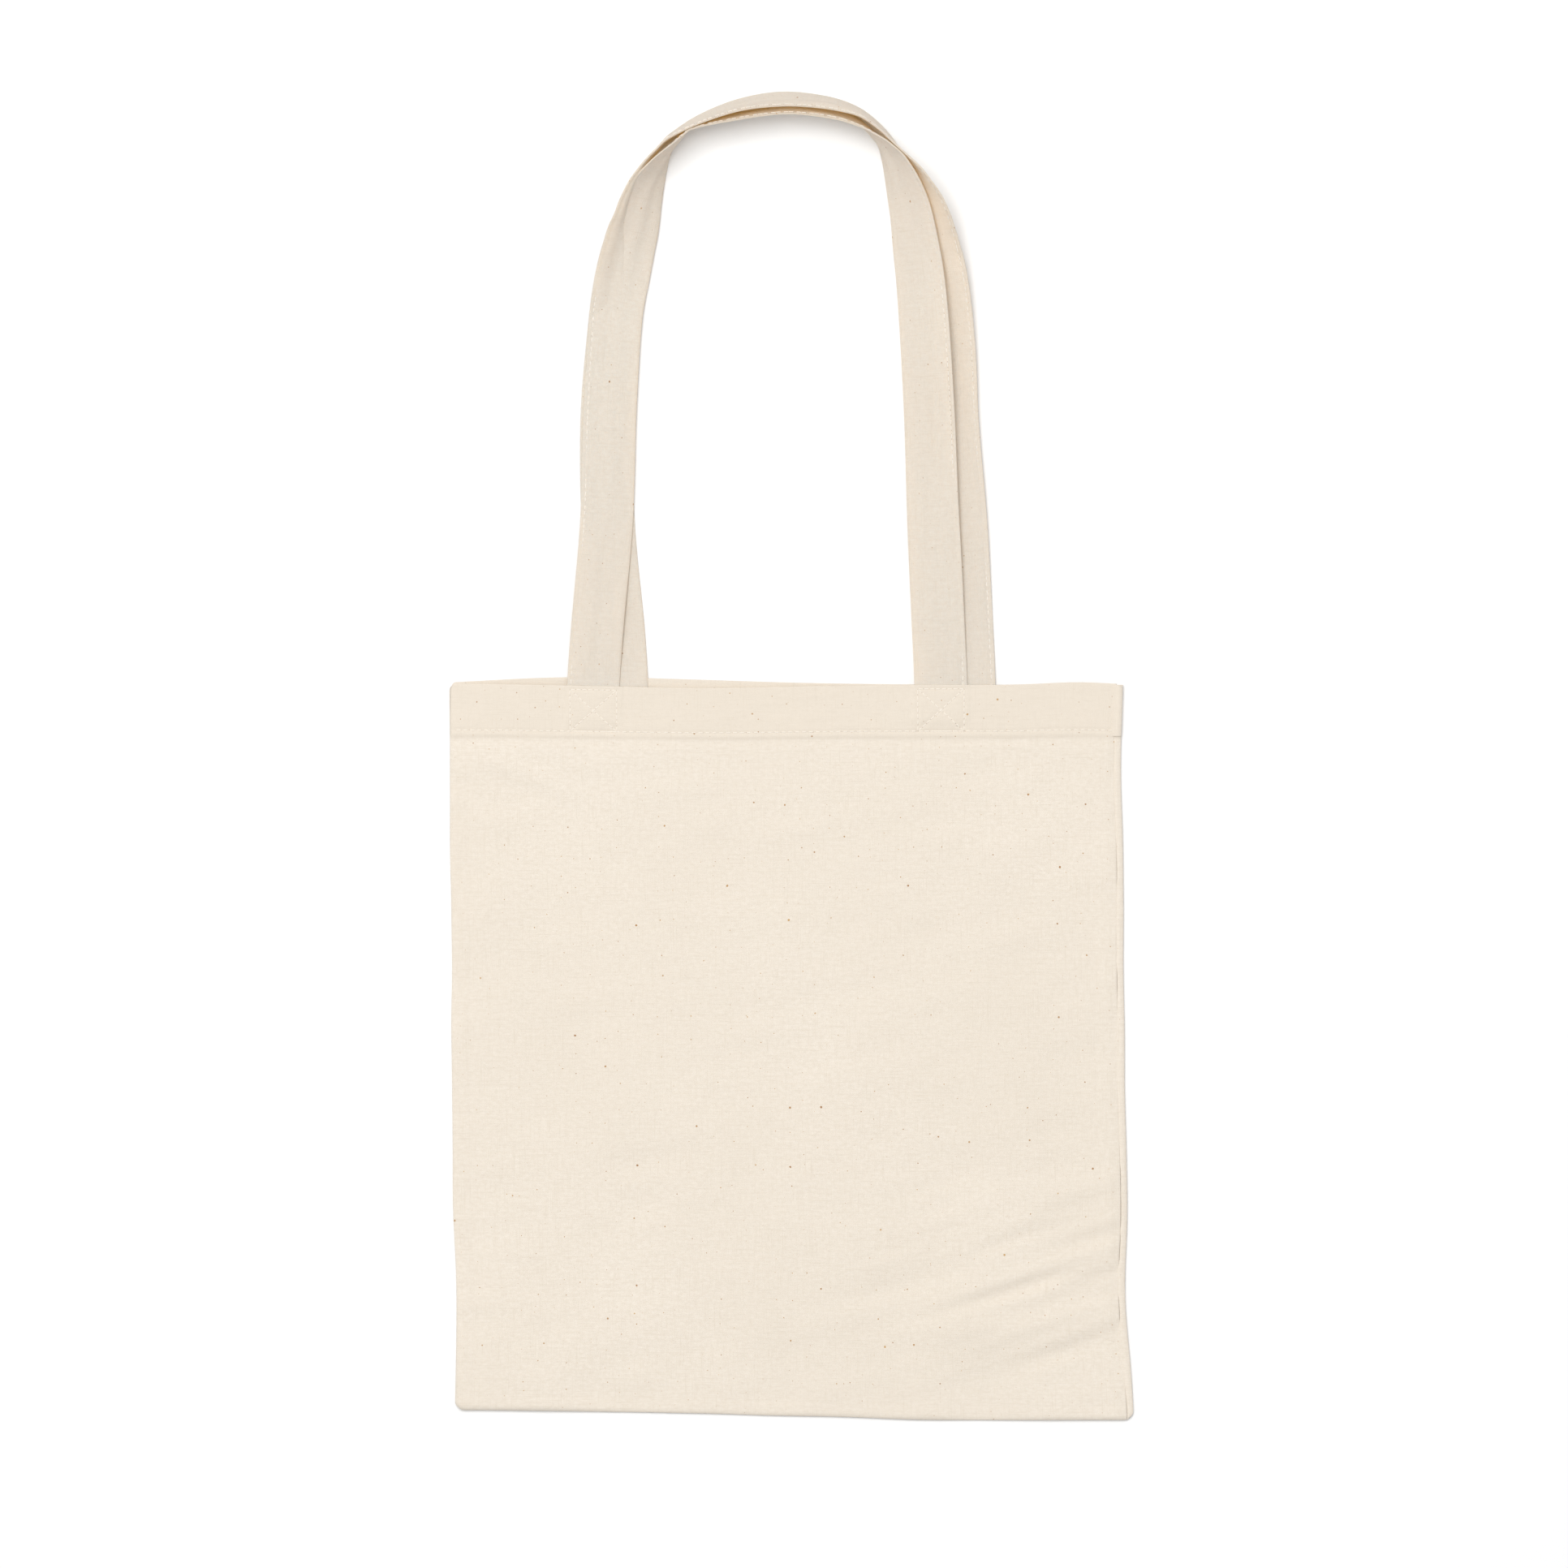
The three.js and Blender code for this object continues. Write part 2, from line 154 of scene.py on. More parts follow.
def lay(x, y):
    """x from the middle line and y from the mouth, downwards negative, to a place on the table."""
    down = -y / HEIGHT
    across = 2 * x / WIDTH
    bow = 2.5 * MM * np.sin(math.pi * np.clip(down, 0, 1)) * ease(across)
    bow += 2.7 * MM * bump(y, -HEIGHT + 68 * MM, 36 * MM) * ease(across * 2 - 1)
    bow += 1.3 * MM * bump(y, -42 * MM, 36 * MM) * ease(across * 2 - 1)
    bow -= 1.7 * MM * bump(y, -HEIGHT + 58 * MM, 42 * MM) * ease(-across * 2 - 1)
    sag = 1.9 * MM * ease(down * 1.3 - 0.3) * bump(x, 97 * MM, 95 * MM)
    wave_x = 0.42 * MM * soft_noise(x, y, 150 * MM, 34 * MM, 91) * ease(np.abs(across) * 1.5 - 0.5)
    wave_y = 0.40 * MM * soft_noise(x, y, 40 * MM, 150 * MM, 92) * ease(down * 1.5 - 0.5)
    low = corner_pull(WIDTH / 2 - np.abs(x), y + HEIGHT, 5.5 * MM)
    top = corner_pull(x + WIDTH / 2, -y, 4 * MM)
    lie_x = MIDDLE + x + down * (SHIFT + SPREAD * across) - bow + wave_x - np.sign(x) * low + top
    lie_y = MOUTH + y - down * across * TILT / 2 - sag + wave_y + low - top
    return lie_x, lie_y


def front_mouth(x):
    """How far the front mouth edge strays from a straight line."""
    dip = -1.7 * MM * bump(x, -45 * MM, 65 * MM)
    lift = 1.4 * MM * bump(x, 165 * MM, 24 * MM)
    return dip + lift + 0.8 * MM * bump(x, -WIDTH / 2, 45 * MM)


def back_mouth(x):
    """The back mouth edge shows above the front one, most of all left of the middle."""
    highest = -120 * MM
    width = np.where(x < highest, 67 * MM, 112 * MM)
    return 4.3 * MM * bump(x, highest, width)


def near_mouth(y):
    """1 at the mouth edge, falling to 0 at 60 mm below it."""
    return ease((y + 60 * MM) / (60 * MM))


corner = lay(np.array([WIDTH / 2]), np.array([-HEIGHT]))
print("lower right corner lies at", [round(float(v[0]), 4) for v in corner])


# %% [markdown]
# ## How the bag's face rises and falls
# An empty bag is never flat. The cloth pillows gently, the turned hem stands a layer higher and puckers
# along its stitching, the strap ends make soft steps inside the hem, and the seam allowances inside print
# through along the left side and the bottom. A few slanting folds run through the lower right corner.


# %% Height of the front panel's face
def strap_end_step(x, y, side):
    """1 over a strap end inside the hem, falling softly to 0 round it."""
    step = np.zeros_like(x)
    for hand in ("left", "right"):
        low, high = end_boxes[side, hand]
        from_left = (x - (low.x - MIDDLE) + 3 * MM) / (5 * MM)
        from_right = ((high.x - MIDDLE) - x + 3 * MM) / (5 * MM)
        from_end = (y + END - 1 * MM) / (6 * MM)
        step = np.maximum(step, ease(from_left) * ease(from_right) * ease(from_end))
    return step


def box_edges(side, hand):
    """The six lines of one box and cross, as pairs of points measured from the mouth's middle."""
    margin = 1.8 * MM
    low, high = end_boxes[side, hand]
    left = low.x - MIDDLE + margin
    right = high.x - MIDDLE - margin
    top, bottom = -margin, -HEM_ROW
    corners = [(left, top), (right, top), (right, bottom), (left, bottom)]
    sides = list(zip(corners, corners[1:] + corners[:1]))
    return sides + [(corners[0], corners[2]), (corners[1], corners[3])]


def box_lines(x, y):
    """Small hollows along the lines of the front's two boxes and crosses, and nowhere else."""
    hollow = np.zeros_like(x)
    for hand in ("left", "right"):
        for (x0, y0), (x1, y1) in box_edges("front", hand):
            dx, dy = x1 - x0, y1 - y0
            t = np.clip(((x - x0) * dx + (y - y0) * dy) / (dx * dx + dy * dy), 0, 1)
            away = np.hypot(x - x0 - t * dx, y - y0 - t * dy)
            hollow = np.maximum(hollow, np.exp(-((away / (1.0 * MM)) ** 2)))
    return hollow


def rumple(x, y):
    """The gentle unevenness of a panel, in metres."""
    height = 0.80 * MM * soft_noise(x, y, 95 * MM, 120 * MM, 3, 0.4)
    height += 0.95 * MM * soft_noise(x, y, 38 * MM, 52 * MM, 5, -0.5)
    height += 0.38 * MM * soft_noise(x, y, 26 * MM, 12 * MM, 8, 0.2)
    height += 0.06 * MM * soft_noise(x, y, 8 * MM, 5 * MM, 9, 0.2)
    corner = ease((x - 10 * MM) / (110 * MM)) * bump(y, -335 * MM, 55 * MM)
    height += 2.4 * MM * corner * soft_noise(x, y, 120 * MM, 15 * MM, 12, 0.23)
    height += 1.3 * MM * corner * soft_noise(x, y, 45 * MM, 7 * MM, 14, 0.30)
    left = bump(x, -WIDTH / 2, 45 * MM)
    for place in (-326, -341, -356):
        crease = bump(y, (place + 1.6) * MM, 2.2 * MM) - bump(y, (place - 1.6) * MM, 2.2 * MM)
        height += 0.16 * MM * left * crease
    upper_left = bump(x, -168 * MM, 48 * MM) * bump(y, -44 * MM, 26 * MM)
    height += 1.4 * MM * upper_left * soft_noise(x, y, 80 * MM, 11 * MM, 21, -0.42)
    return height


def face_height(x, y):
    """Height of the front panel's outer face over the table, away from its rims."""
    held = 1 - 0.6 * ease((y + 55 * MM) / (35 * MM))
    height = 3.3 * MM + rumple(x, y) * held
    in_hem = ease((y + HEM + 0.4 * MM) / (2.6 * MM))
    height += in_hem * (0.5 * MM + 0.75 * MM * strap_end_step(x, y, "front"))
    height += 0.10 * MM * in_hem * soft_noise(x, y, 26 * MM, 3.2 * MM, 33, 0.04)
    pucker = soft_noise(x, y, 4.6 * MM, 14 * MM, 31)
    height += 0.20 * MM * pucker * bump(y, -HEM_ROW - 1 * MM, 5 * MM)
    height -= 0.30 * MM * bump(y, -HEM_ROW, 1.0 * MM)
    hollow = 1 + soft_noise(x, y, 60 * MM, 90 * MM, 34)
    height -= 0.24 * MM * bump(y, -HEM - 1.6 * MM, 2.2 * MM) * hollow
    height -= 0.34 * MM * box_lines(x, y)
    from_left = x + WIDTH / 2
    from_bottom = y + HEIGHT
    below_hem = ease((-y - HEM) / (10 * MM))
    uneven = 0.6 + 0.4 * soft_noise(x, y, 55 * MM, 60 * MM, 41)
    left_step = 1 - ease((from_left - ALLOWANCE + 1 * MM) / (3.0 * MM))
    height += 0.35 * MM * left_step * below_hem * uneven
    bottom_step = 1 - ease((from_bottom - ALLOWANCE * 0.6) / (3.0 * MM))
    height += 0.28 * MM * bottom_step * uneven
    right_step = 1 - ease((WIDTH / 2 - x - ALLOWANCE - SEAM_WRAP) / (3.6 * MM))
    height += 0.2 * MM * right_step * below_hem * uneven
    least = 1.5 * MM
    give = 0.4 * MM
    return least + give * np.logaddexp(0, (height - least) / give)


middle_line = np.linspace(-HEIGHT, 0, 200)
heights = face_height(0 * middle_line, middle_line) / MM
print("face along the middle, mm", round(heights.min(), 2), "to", round(heights.max(), 2))

# %% [markdown]
# ## Cutting and folding a panel
# A panel is cut with an allowance on three sides and a hem at the mouth. Along an edge the cloth rolls down
# from the face to the seam, then turns inside. On the right the back panel has crept round onto the front,
# so there the seam shows as a fine groove a few millimetres in from the edge.

# %% Profiles of the edges
SEAM_LEVEL = 1.5 * MM  # height of the seams over the table
TABLE_LEVEL = 0.3 * MM  # height of the back panel over the table
ROLL = 3.2 * MM  # width of a rolled edge, seen from above
ROLL_LENGTH = 1.3 * ROLL  # the cloth in it
WRAP_RISE = 1.3 * MM
WRAP_LENGTH = math.pi * math.sqrt((SEAM_WRAP**2 + WRAP_RISE**2) / 2)
print("cloth in a rolled edge", round(ROLL_LENGTH, 4), "and in the wrapped edge", round(WRAP_LENGTH, 4))


def rolled(e):
    """An edge that rolls to the seam. From e, the length of cloth from it: inset and share of height."""
    angle = np.clip(e / ROLL_LENGTH, 0, 1) * math.pi / 2
    inset = ROLL * (1 - np.cos(angle)) + np.maximum(e - ROLL_LENGTH, 0)
    return np.where(e < 0, -e, inset), np.where(e < 0, 0.0, np.sin(angle))


def grooved(e):
    """The front panel at the right seam: it dips into the groove beside the wrapped edge."""
    share = 0.45 + 0.25 * ease(e / (0.9 * MM)) + 0.30 * ease(e / (6 * MM))
    return SEAM_WRAP + np.abs(e), np.where(e < 0, 0.1, share)


def wrapped(e):
    """The back panel at the right seam: from the seam out round the edge and under the bag."""
    angle = math.pi / 2 - math.pi * np.clip(e / WRAP_LENGTH, 0, 1)
    inset = SEAM_WRAP * (1 - np.cos(angle)) + np.maximum(e - WRAP_LENGTH, 0)
    rise = WRAP_RISE * np.sin(angle) - 0.4 * MM * (1 - ease(e / (0.8 * MM)))
    return np.where(e < 0, SEAM_WRAP - e, inset), np.where(e < 0, 0.2 * MM, rise)


def fold_over(t):
    """Past the mouth edge the cloth turns inside. From t: the place up the bag and the drop there."""
    past = t - HEIGHT
    radius = 0.5 * MM
    arc = math.pi * radius
    angle = np.clip(past / arc, 0, 1) * math.pi
    y = np.where(past < 0, past, radius * np.sin(angle) - np.maximum(past - arc, 0))
    return y, np.where(past < 0, 0.0, radius * (1 - np.cos(angle)))


# %% Placing the points of the two panels
HALF = WIDTH / 2
LOW_PART = 50 * MM  # up to here the bottom edge shapes the panel, and above it the mouth
FRONT_SEAM_LEFT = -HALF + ROLL - ROLL_LENGTH
FRONT_SEAM_RIGHT = HALF - SEAM_WRAP
BACK_SEAM_RIGHT = HALF - SEAM_WRAP + WRAP_LENGTH
BOTTOM_SEAM = ROLL - ROLL_LENGTH


def place_front(s, t):
    """s across the cut cloth and t up it, to a point of the front panel."""
    left_inset, left_share = rolled(s - FRONT_SEAM_LEFT)
    right_inset, right_share = grooved(FRONT_SEAM_RIGHT - s)
    x = np.where(s < 0, -HALF + left_inset, HALF - right_inset)
    bottom_inset, bottom_share = rolled(t - BOTTOM_SEAM)
    y_up, drop = fold_over(t)
    y = np.where(t < LOW_PART, -HEIGHT + bottom_inset, y_up)
    share = np.where(s < 0, left_share, right_share) * np.where(t < LOW_PART, bottom_share, 1.0)
    face = face_height(x, np.minimum(y, 0))
    hem_thick = ease((y + HEM) / (3 * MM))
    z = SEAM_LEVEL + (face - SEAM_LEVEL + 0.3 * MM * hem_thick * (1 - share)) * share - drop
    lie_x, lie_y = lay(x, y)
    return lie_x, lie_y + front_mouth(x) * near_mouth(y), z


def place_back(s, t):
    """The same for the back panel, which lies on the table."""
    left_inset, left_share = rolled(s - FRONT_SEAM_LEFT)
    right_inset, right_rise = wrapped(BACK_SEAM_RIGHT - s)
    x = np.where(s < 0, -HALF + left_inset, HALF - right_inset)
    bottom_inset, bottom_share = rolled(t - BOTTOM_SEAM)
    y_up, drop = fold_over(t)
    y = np.where(t < LOW_PART, -HEIGHT + bottom_inset, y_up)
    low = TABLE_LEVEL + 0.15 * MM * (1 + soft_noise(x, y, 50 * MM, 60 * MM, 51))
    hem_here = ease((y + HEM) / (3 * MM))
    z_left = SEAM_LEVEL + (low - SEAM_LEVEL) * left_share
    thicker = 1 + 0.35 * hem_here
    z_right = TABLE_LEVEL + WRAP_RISE * thicker + right_rise * thicker
    z = np.where(s < 0, z_left, np.where(right_inset > SEAM_WRAP * 2, low, z_right))
    z = SEAM_LEVEL + (z - SEAM_LEVEL) * np.where(t < LOW_PART, bottom_share, 1.0) + drop * 0.9
    z += 0.5 * MM * bump(x, -HALF + 4 * MM, 9 * MM) * bump(y, 0, 14 * MM)
    lie_x, lie_y = lay(x, y)
    return lie_x, lie_y + back_mouth(x) * near_mouth(y), z


# %% [markdown]
# A panel is added as a plane grid and every point is then given its place. The grid is finer where the
# cloth bends sharply, along the seams, the hem and the strap ends, and coarser on the open face, so it
# stays light. The front is cut in two halves that meet in the middle.


# %% Helpers for meshes
def set_uv(data, u, v):
    """Gives every corner of a mesh the values u and v of its point."""
    if not data.uv_layers:
        data.uv_layers.new(name="UVMap")
    corner = np.zeros(len(data.loops), int)
    data.loops.foreach_get("vertex_index", corner)
    flat = np.stack([u[corner], v[corner]], axis=1)
    data.uv_layers.active.data.foreach_set("uv", flat.ravel())


def linked(name, data):
    """A new object with this mesh, lamp or camera, in the scene."""
    piece = bpy.data.objects.new(name, data)
    bpy.context.scene.collection.objects.link(piece)
    return piece


# %% The cut cloth as a grid
def cut_cloth(name, across, up, place):
    """A grid with the given lines, folded into place. Its UV map is the cut cloth, in metres."""
    bpy.ops.object.select_all(action="DESELECT")
    bpy.ops.mesh.primitive_grid_add(x_subdivisions=len(across) - 1, y_subdivisions=len(up) - 1, size=1)
    piece = bpy.context.object
    piece.name = piece.data.name = name
    s, t = np.meshgrid(across, up)
    x, y, z = place(s.ravel(), t.ravel())
    points = np.stack([x, y, z], axis=1)
    piece.data.vertices.foreach_set("co", points.ravel())
    set_uv(piece.data, s.ravel(), t.ravel())
    piece.data.update()
    bpy.ops.object.shade_smooth()
    return piece


UP = spaced(
    [
        (BOTTOM_SEAM - ALLOWANCE, 3 * MM),
        (BOTTOM_SEAM, 0.5 * MM),
        (12 * MM, 2.0 * MM),
        (HEIGHT - HEM_ROW - 8 * MM, 0.6 * MM),
        (HEIGHT - HEM_ROW + 3 * MM, 1.0 * MM),
        (HEIGHT - 2 * MM, 0.35 * MM),
        (HEIGHT + 2.5 * MM, 3 * MM),
        (HEIGHT + HEM, 0),
    ]
)


def round_end(hand):
    """Where the finer lines round a strap end start and stop, measured from the middle."""
    low, high = end_boxes["front", hand]
    return low.x - MIDDLE - 3 * MM, high.x - MIDDLE + 3 * MM


left_ends = round_end("left")
right_ends = round_end("right")
LEFT_LINES = spaced(
    [
        (FRONT_SEAM_LEFT - ALLOWANCE, 3 * MM),
        (FRONT_SEAM_LEFT, 0.5 * MM),
        (-HALF + 13 * MM, 1.3 * MM),
        (left_ends[0], 1.0 * MM),
        (left_ends[1], 1.3 * MM),
        (0, 0),
    ]
)
RIGHT_LINES = spaced(
    [
        (0, 1.3 * MM),
        (right_ends[0], 1.0 * MM),
        (right_ends[1], 1.3 * MM),
        (FRONT_SEAM_RIGHT - 14 * MM, 0.5 * MM),
        (FRONT_SEAM_RIGHT, 3 * MM),
        (FRONT_SEAM_RIGHT + ALLOWANCE, 0),
    ]
)
BACK_RIGHT_LINES = spaced(
    [
        (0, 3 * MM),
        (HALF - SEAM_WRAP * 2, 0.5 * MM),
        (BACK_SEAM_RIGHT, 3 * MM),
        (BACK_SEAM_RIGHT + ALLOWANCE, 0),
    ]
)
front_left = cut_cloth("front_canvas_left", LEFT_LINES, UP, place_front)
front_right = cut_cloth("front_canvas_right", RIGHT_LINES, UP, place_front)
back_lines = np.concatenate([LEFT_LINES, BACK_RIGHT_LINES[1:]])
back_canvas = cut_cloth("back_canvas", back_lines, UP, place_back)
print("panels", [len(p.data.polygons) for p in (front_left, front_right, back_canvas)], "faces")

# %% [markdown]
# ## The handles
# A handle is one long strip, folded double and stitched along its open edge. It leaves the mouth flat, and
# towards the top its stitched edge rises, until over the arch the strap stands on its folded edge and leans
# inwards. A curve with a bevel would twist as it pleases. So a handle is laid out by the line of its folded
# edge and by how far the strap is turned up there.

# %% The line and the turn of a handle
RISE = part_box("front_handle")[1].y - MOUTH
STRAP_THICK = 1.1 * MM
# A station: [across, in half gaps between the legs; up, in rises; turn in degrees; height of the edge in mm].
FRONT_LINE = [
    [-1, -0.07, 0, 2.1],
    [-1, 0, 0, 2.4],
    [-0.975, 0.09, -3, 3.4],
    [-0.91, 0.28, 0, 2.0],
    [-0.885, 0.47, 0, 1.9],
    [-0.842, 0.632, 2, 1.8],
    [-0.8, 0.69, 9, 1.5],
    [-0.769, 0.733, 18, 1.3],
    [-0.739, 0.774, 30, 1.0],
    [-0.721, 0.819, 43, 0.7],
    [-0.704, 0.855, 57, 0.4],
    [-0.682, 0.889, 75, 0.3],
    [-0.655, 0.914, 88, 0.2],
    [-0.61, 0.936, 95, 0.1],
    [-0.55, 0.955, 99, 0.1],
    [-0.25, 0.985, 107, 0.1],
    [0.14, 1.0, 109, 0.1],
    [0.5, 0.985, 106, 0.1],
    [0.66, 0.96, 99, 0.1],
    [0.728, 0.937, 90, 0.1],
    [0.767, 0.917, 80, 0.2],
    [0.787, 0.895, 67, 0.3],
    [0.804, 0.865, 55, 0.4],
    [0.822, 0.831, 45, 0.6],
    [0.841, 0.796, 38, 0.8],
    [0.859, 0.74, 29, 1.0],
    [0.882, 0.68, 24, 1.0],
    [0.93, 0.47, 18, 1.0],
    [0.955, 0.267, 12, 1.1],
    [0.985, 0.09, 3, 1.3],
    [1, 0, 0, 2.4],
    [1, -0.07, 0, 2.1],
]
BACK_LINE = [
    [-1, -0.07, 0, 0.95],
    [-1, 0, 0, 1.15],
    [-1.02, 0.09, 0, 0.1],
    [-1.09, 0.28, 0, 0.1],
    [-1.095, 0.47, 1, 0.1],
    [-1.05, 0.61, 4, 0.1],
    [-1.025, 0.668, 12, 0.1],
    [-1.005, 0.71, 20, 0.1],
    [-0.993, 0.75, 31, 0.1],
    [-0.99, 0.79, 43, 0.1],
    [-1.001, 0.824, 57, 0.1],
    [-1.003, 0.855, 70, 0.1],
    [-0.987, 0.888, 84, 0.1],
    [-0.955, 0.908, 90, 0.1],
    [-0.9, 0.93, 94, 0.1],
    [-0.8, 0.951, 98, 0.1],
    [-0.66, 0.973, 102, 0.1],
    [-0.4, 1.0, 106, 0.1],
    [-0.09, 1.013, 109, 0.1],
    [0.194, 1.006, 107, 0.1],
    [0.36, 0.994, 104, 0.1],
    [0.48, 0.978, 100, 0.1],
    [0.606, 0.95, 97, 0.1],
    [0.69, 0.924, 94, 0.1],
    [0.757, 0.897, 88, 0.1],
    [0.787, 0.871, 77, 0.1],
    [0.797, 0.844, 64, 0.1],
    [0.8, 0.819, 52, 0.1],
    [0.797, 0.796, 42, 0.1],
    [0.794, 0.769, 33, 0.1],
    [0.802, 0.734, 25, 0.1],
    [0.823, 0.697, 19, 0.1],
    [0.845, 0.64, 12, 0.1],
    [0.872, 0.55, 7, 0.1],
    [0.888, 0.45, 5, 0.1],
    [0.946, 0.267, 4, 0.1],
    [0.985, 0.09, 0, 0.1],
    [1, 0, 0, 1.15],
    [1, -0.07, 0, 0.95],
]


def smooth_line(stations, steps=24):
    """A smooth line through stations of any number of values (Catmull-Rom, spaced by distance)."""
    p = np.array(stations, float)
    p = np.vstack([2 * p[0] - p[1], p, 2 * p[-1] - p[-2]])
    knots = np.concatenate([[0], np.cumsum(np.linalg.norm(np.diff(p[:, :2], axis=0), axis=1) ** 0.5)])
    found = []
    for i in range(1, len(p) - 2):
        k0, k1, k2, k3 = knots[i - 1 : i + 3]
        for k in np.linspace(k1, k2, steps, endpoint=False):
            a1 = p[i - 1] + (p[i] - p[i - 1]) * (k - k0) / (k1 - k0)
            a2 = p[i] + (p[i + 1] - p[i]) * (k - k1) / (k2 - k1)
            a3 = p[i + 1] + (p[i + 2] - p[i + 1]) * (k - k2) / (k3 - k2)
            b1 = a1 + (a2 - a1) * (k - k0) / (k2 - k0)
            b2 = a2 + (a3 - a2) * (k - k1) / (k3 - k1)
            found.append(b1 + (b2 - b1) * (k - k1) / (k2 - k1))
    found.append(p[-2])
    return np.array(found)


def handle_places(side, stations, pitch=1.6 * MM):
    """Evenly spaced places along a handle: its folded edge, the direction across it and its face."""
    left, right = end_boxes[side, "left"], end_boxes[side, "right"]
    middle = (left[0].x + right[1].x) / 2
    half_gap = (right[0].x - left[1].x) / 2
    line = smooth_line(
        [
            [middle + a * half_gap, MOUTH + u * RISE, math.radians(turn), h * MM]
            for a, u, turn, h in stations
        ]
    )
    along = np.concatenate([[0], np.cumsum(np.linalg.norm(np.diff(line[:, :2], axis=0), axis=1))])
    at = np.arange(0, along[-1], pitch)
    x, y, turn, height = (np.interp(at, along, line[:, k]) for k in range(4))
    ahead = np.stack([np.gradient(x), np.gradient(y)], axis=1)
    ahead /= np.linalg.norm(ahead, axis=1)[:, None]
    outward = np.stack([-ahead[:, 1], ahead[:, 0]], axis=1)
    # Near the mouth the strap lies square to the hem that holds it.
    square = np.stack([np.sign(outward[:, 0]), 0 * x], axis=1)
    free = ease((y - MOUTH) / (30 * MM))[:, None]
    outward = square * (1 - free) + outward * free
    outward /= np.linalg.norm(outward, axis=1)[:, None]
    across = np.column_stack([outward * np.cos(turn)[:, None], np.sin(turn)])
    face = np.column_stack([-outward * np.sin(turn)[:, None], np.cos(turn)])
    return {"at": at, "edge": np.column_stack([x, y, height]), "across": across, "face": face}


places = {"front": handle_places("front", FRONT_LINE), "back": handle_places("back", BACK_LINE)}
print("strap lengths", {k: round(float(v["at"][-1]), 3) for k, v in places.items()})

# %% [markdown]
# The strip's section is two layers of cloth: round where it is folded, two lips with a fine slit where it is
# open, and pressed thin along its stitching. Long soft wrinkles run along it. A flat grid with a Solidify
# modifier would have square edges, so the section is drawn once and carried along the line.

# %% The section of a strap
STITCH_LINE = STRAP - 2.4 * MM
SECTION_WIDTH = 30  # the section is drawn in mm across, and in shares of its thickness
SECTION_ROUND = 62  # the cloth once round the section, in mm
FOLD_SIDE = [(0.1, 0.62), (0.6, 0.95)]
FLAT_FACE = [(a, 1.0 + 0.05 * math.sin(math.pi * a / 27)) for a in range(2, 26, 2)]
STITCHED = [(26.4, 0.96), (27.0, 0.85), (27.6, 0.78), (28.2, 0.85)]
LIP = [(29, 0.97), (29.6, 0.97), (29.95, 0.8), (29.95, 0.6)]
SLIT = (29.4, 0.5)
UPPER = FOLD_SIDE + FLAT_FACE + STITCHED + LIP


def strap_section():
    """Points round the section: across the strap, and height as a share of its thickness."""
    lower = [(a, 1 - h) for a, h in reversed(UPPER)]
    return np.array(UPPER + [SLIT] + lower + [(0.0, 0.5)])


print("strap section", len(strap_section()), "points")


# %% The strap, as that section carried along its line
def strap_points(place, section, seed):
    """The points of the section at every place along the line, with its wrinkles."""
    n, m = len(place["at"]), len(section)
    along = np.repeat(place["at"], m)
    across = np.tile(section[:, 0] * MM * STRAP / (SECTION_WIDTH * MM), n)
    share = np.tile(section[:, 1], n)
    wrinkle = 1.35 * MM * (0.35 + soft_noise(along, across, 80 * MM, 6.0 * MM, seed))
    wrinkle += 0.40 * MM * soft_noise(along, across, 26 * MM, 3.4 * MM, seed + 1, 0.08)
    wrinkle *= ease((np.minimum(along, along[-1] - along) - END) / (25 * MM)) * 0.95 + 0.05
    wrinkle *= np.sin(np.clip(across / STRAP, 0, 1) * math.pi) ** 0.5
    wander = 0.3 * MM * soft_noise(along, 0 * along, 60 * MM, 1.0, seed + 2)
    lift = share * STRAP_THICK + wrinkle
    k = np.repeat(np.arange(n), m)
    points = place["edge"][k] + place["across"][k] * (across + wander * across / STRAP)[:, None]
    return points + place["face"][k] * lift[:, None]


def make_strap(name, side, seed):
    """A closed strap, with its UV map running round and along the strip of cloth."""
    place = places[side]
    section = strap_section()
    n, m = len(place["at"]), len(section)
    faces = []
    for i in range(n - 1):
        for j in range(m):
            a, b = i * m + j, i * m + (j + 1) % m
            faces.append((a, a + m, b + m, b))
    faces.append(tuple(range(m)))
    faces.append(tuple(reversed(range((n - 1) * m, n * m))))
    data = bpy.data.meshes.new(name)
    data.from_pydata(strap_points(place, section, seed).tolist(), [], faces)
    on_top = np.arange(m) < m // 2
    round_edge = np.tile(np.where(on_top, section[:, 0], SECTION_ROUND - section[:, 0]) * MM, n)
    set_uv(data, round_edge + seed, np.repeat(place["at"], m))
    piece = linked(name, data)
    bpy.ops.object.select_all(action="DESELECT")
    piece.select_set(True)
    bpy.context.view_layer.objects.active = piece
    bpy.ops.object.mode_set(mode="EDIT")
    bpy.ops.mesh.select_all(action="SELECT")
    bpy.ops.mesh.normals_make_consistent(inside=False)
    bpy.ops.object.mode_set(mode="OBJECT")
    bpy.ops.object.shade_smooth()
    return piece


front_strap = make_strap("front_strap", "front", 61)
back_strap = make_strap("back_strap", "back", 71)
print("straps", len(front_strap.data.polygons), len(back_strap.data.polygons), "faces")

# %% [markdown]
# ## Stitching
# Every stitch is a short, plump piece of thread that dips into the cloth at both ends. One is made from a
# sphere, and a row is that one repeated along a line, about every four millimetres. A drawn line on the
# cloth would be lighter, but it catches no light and throws no shadow.

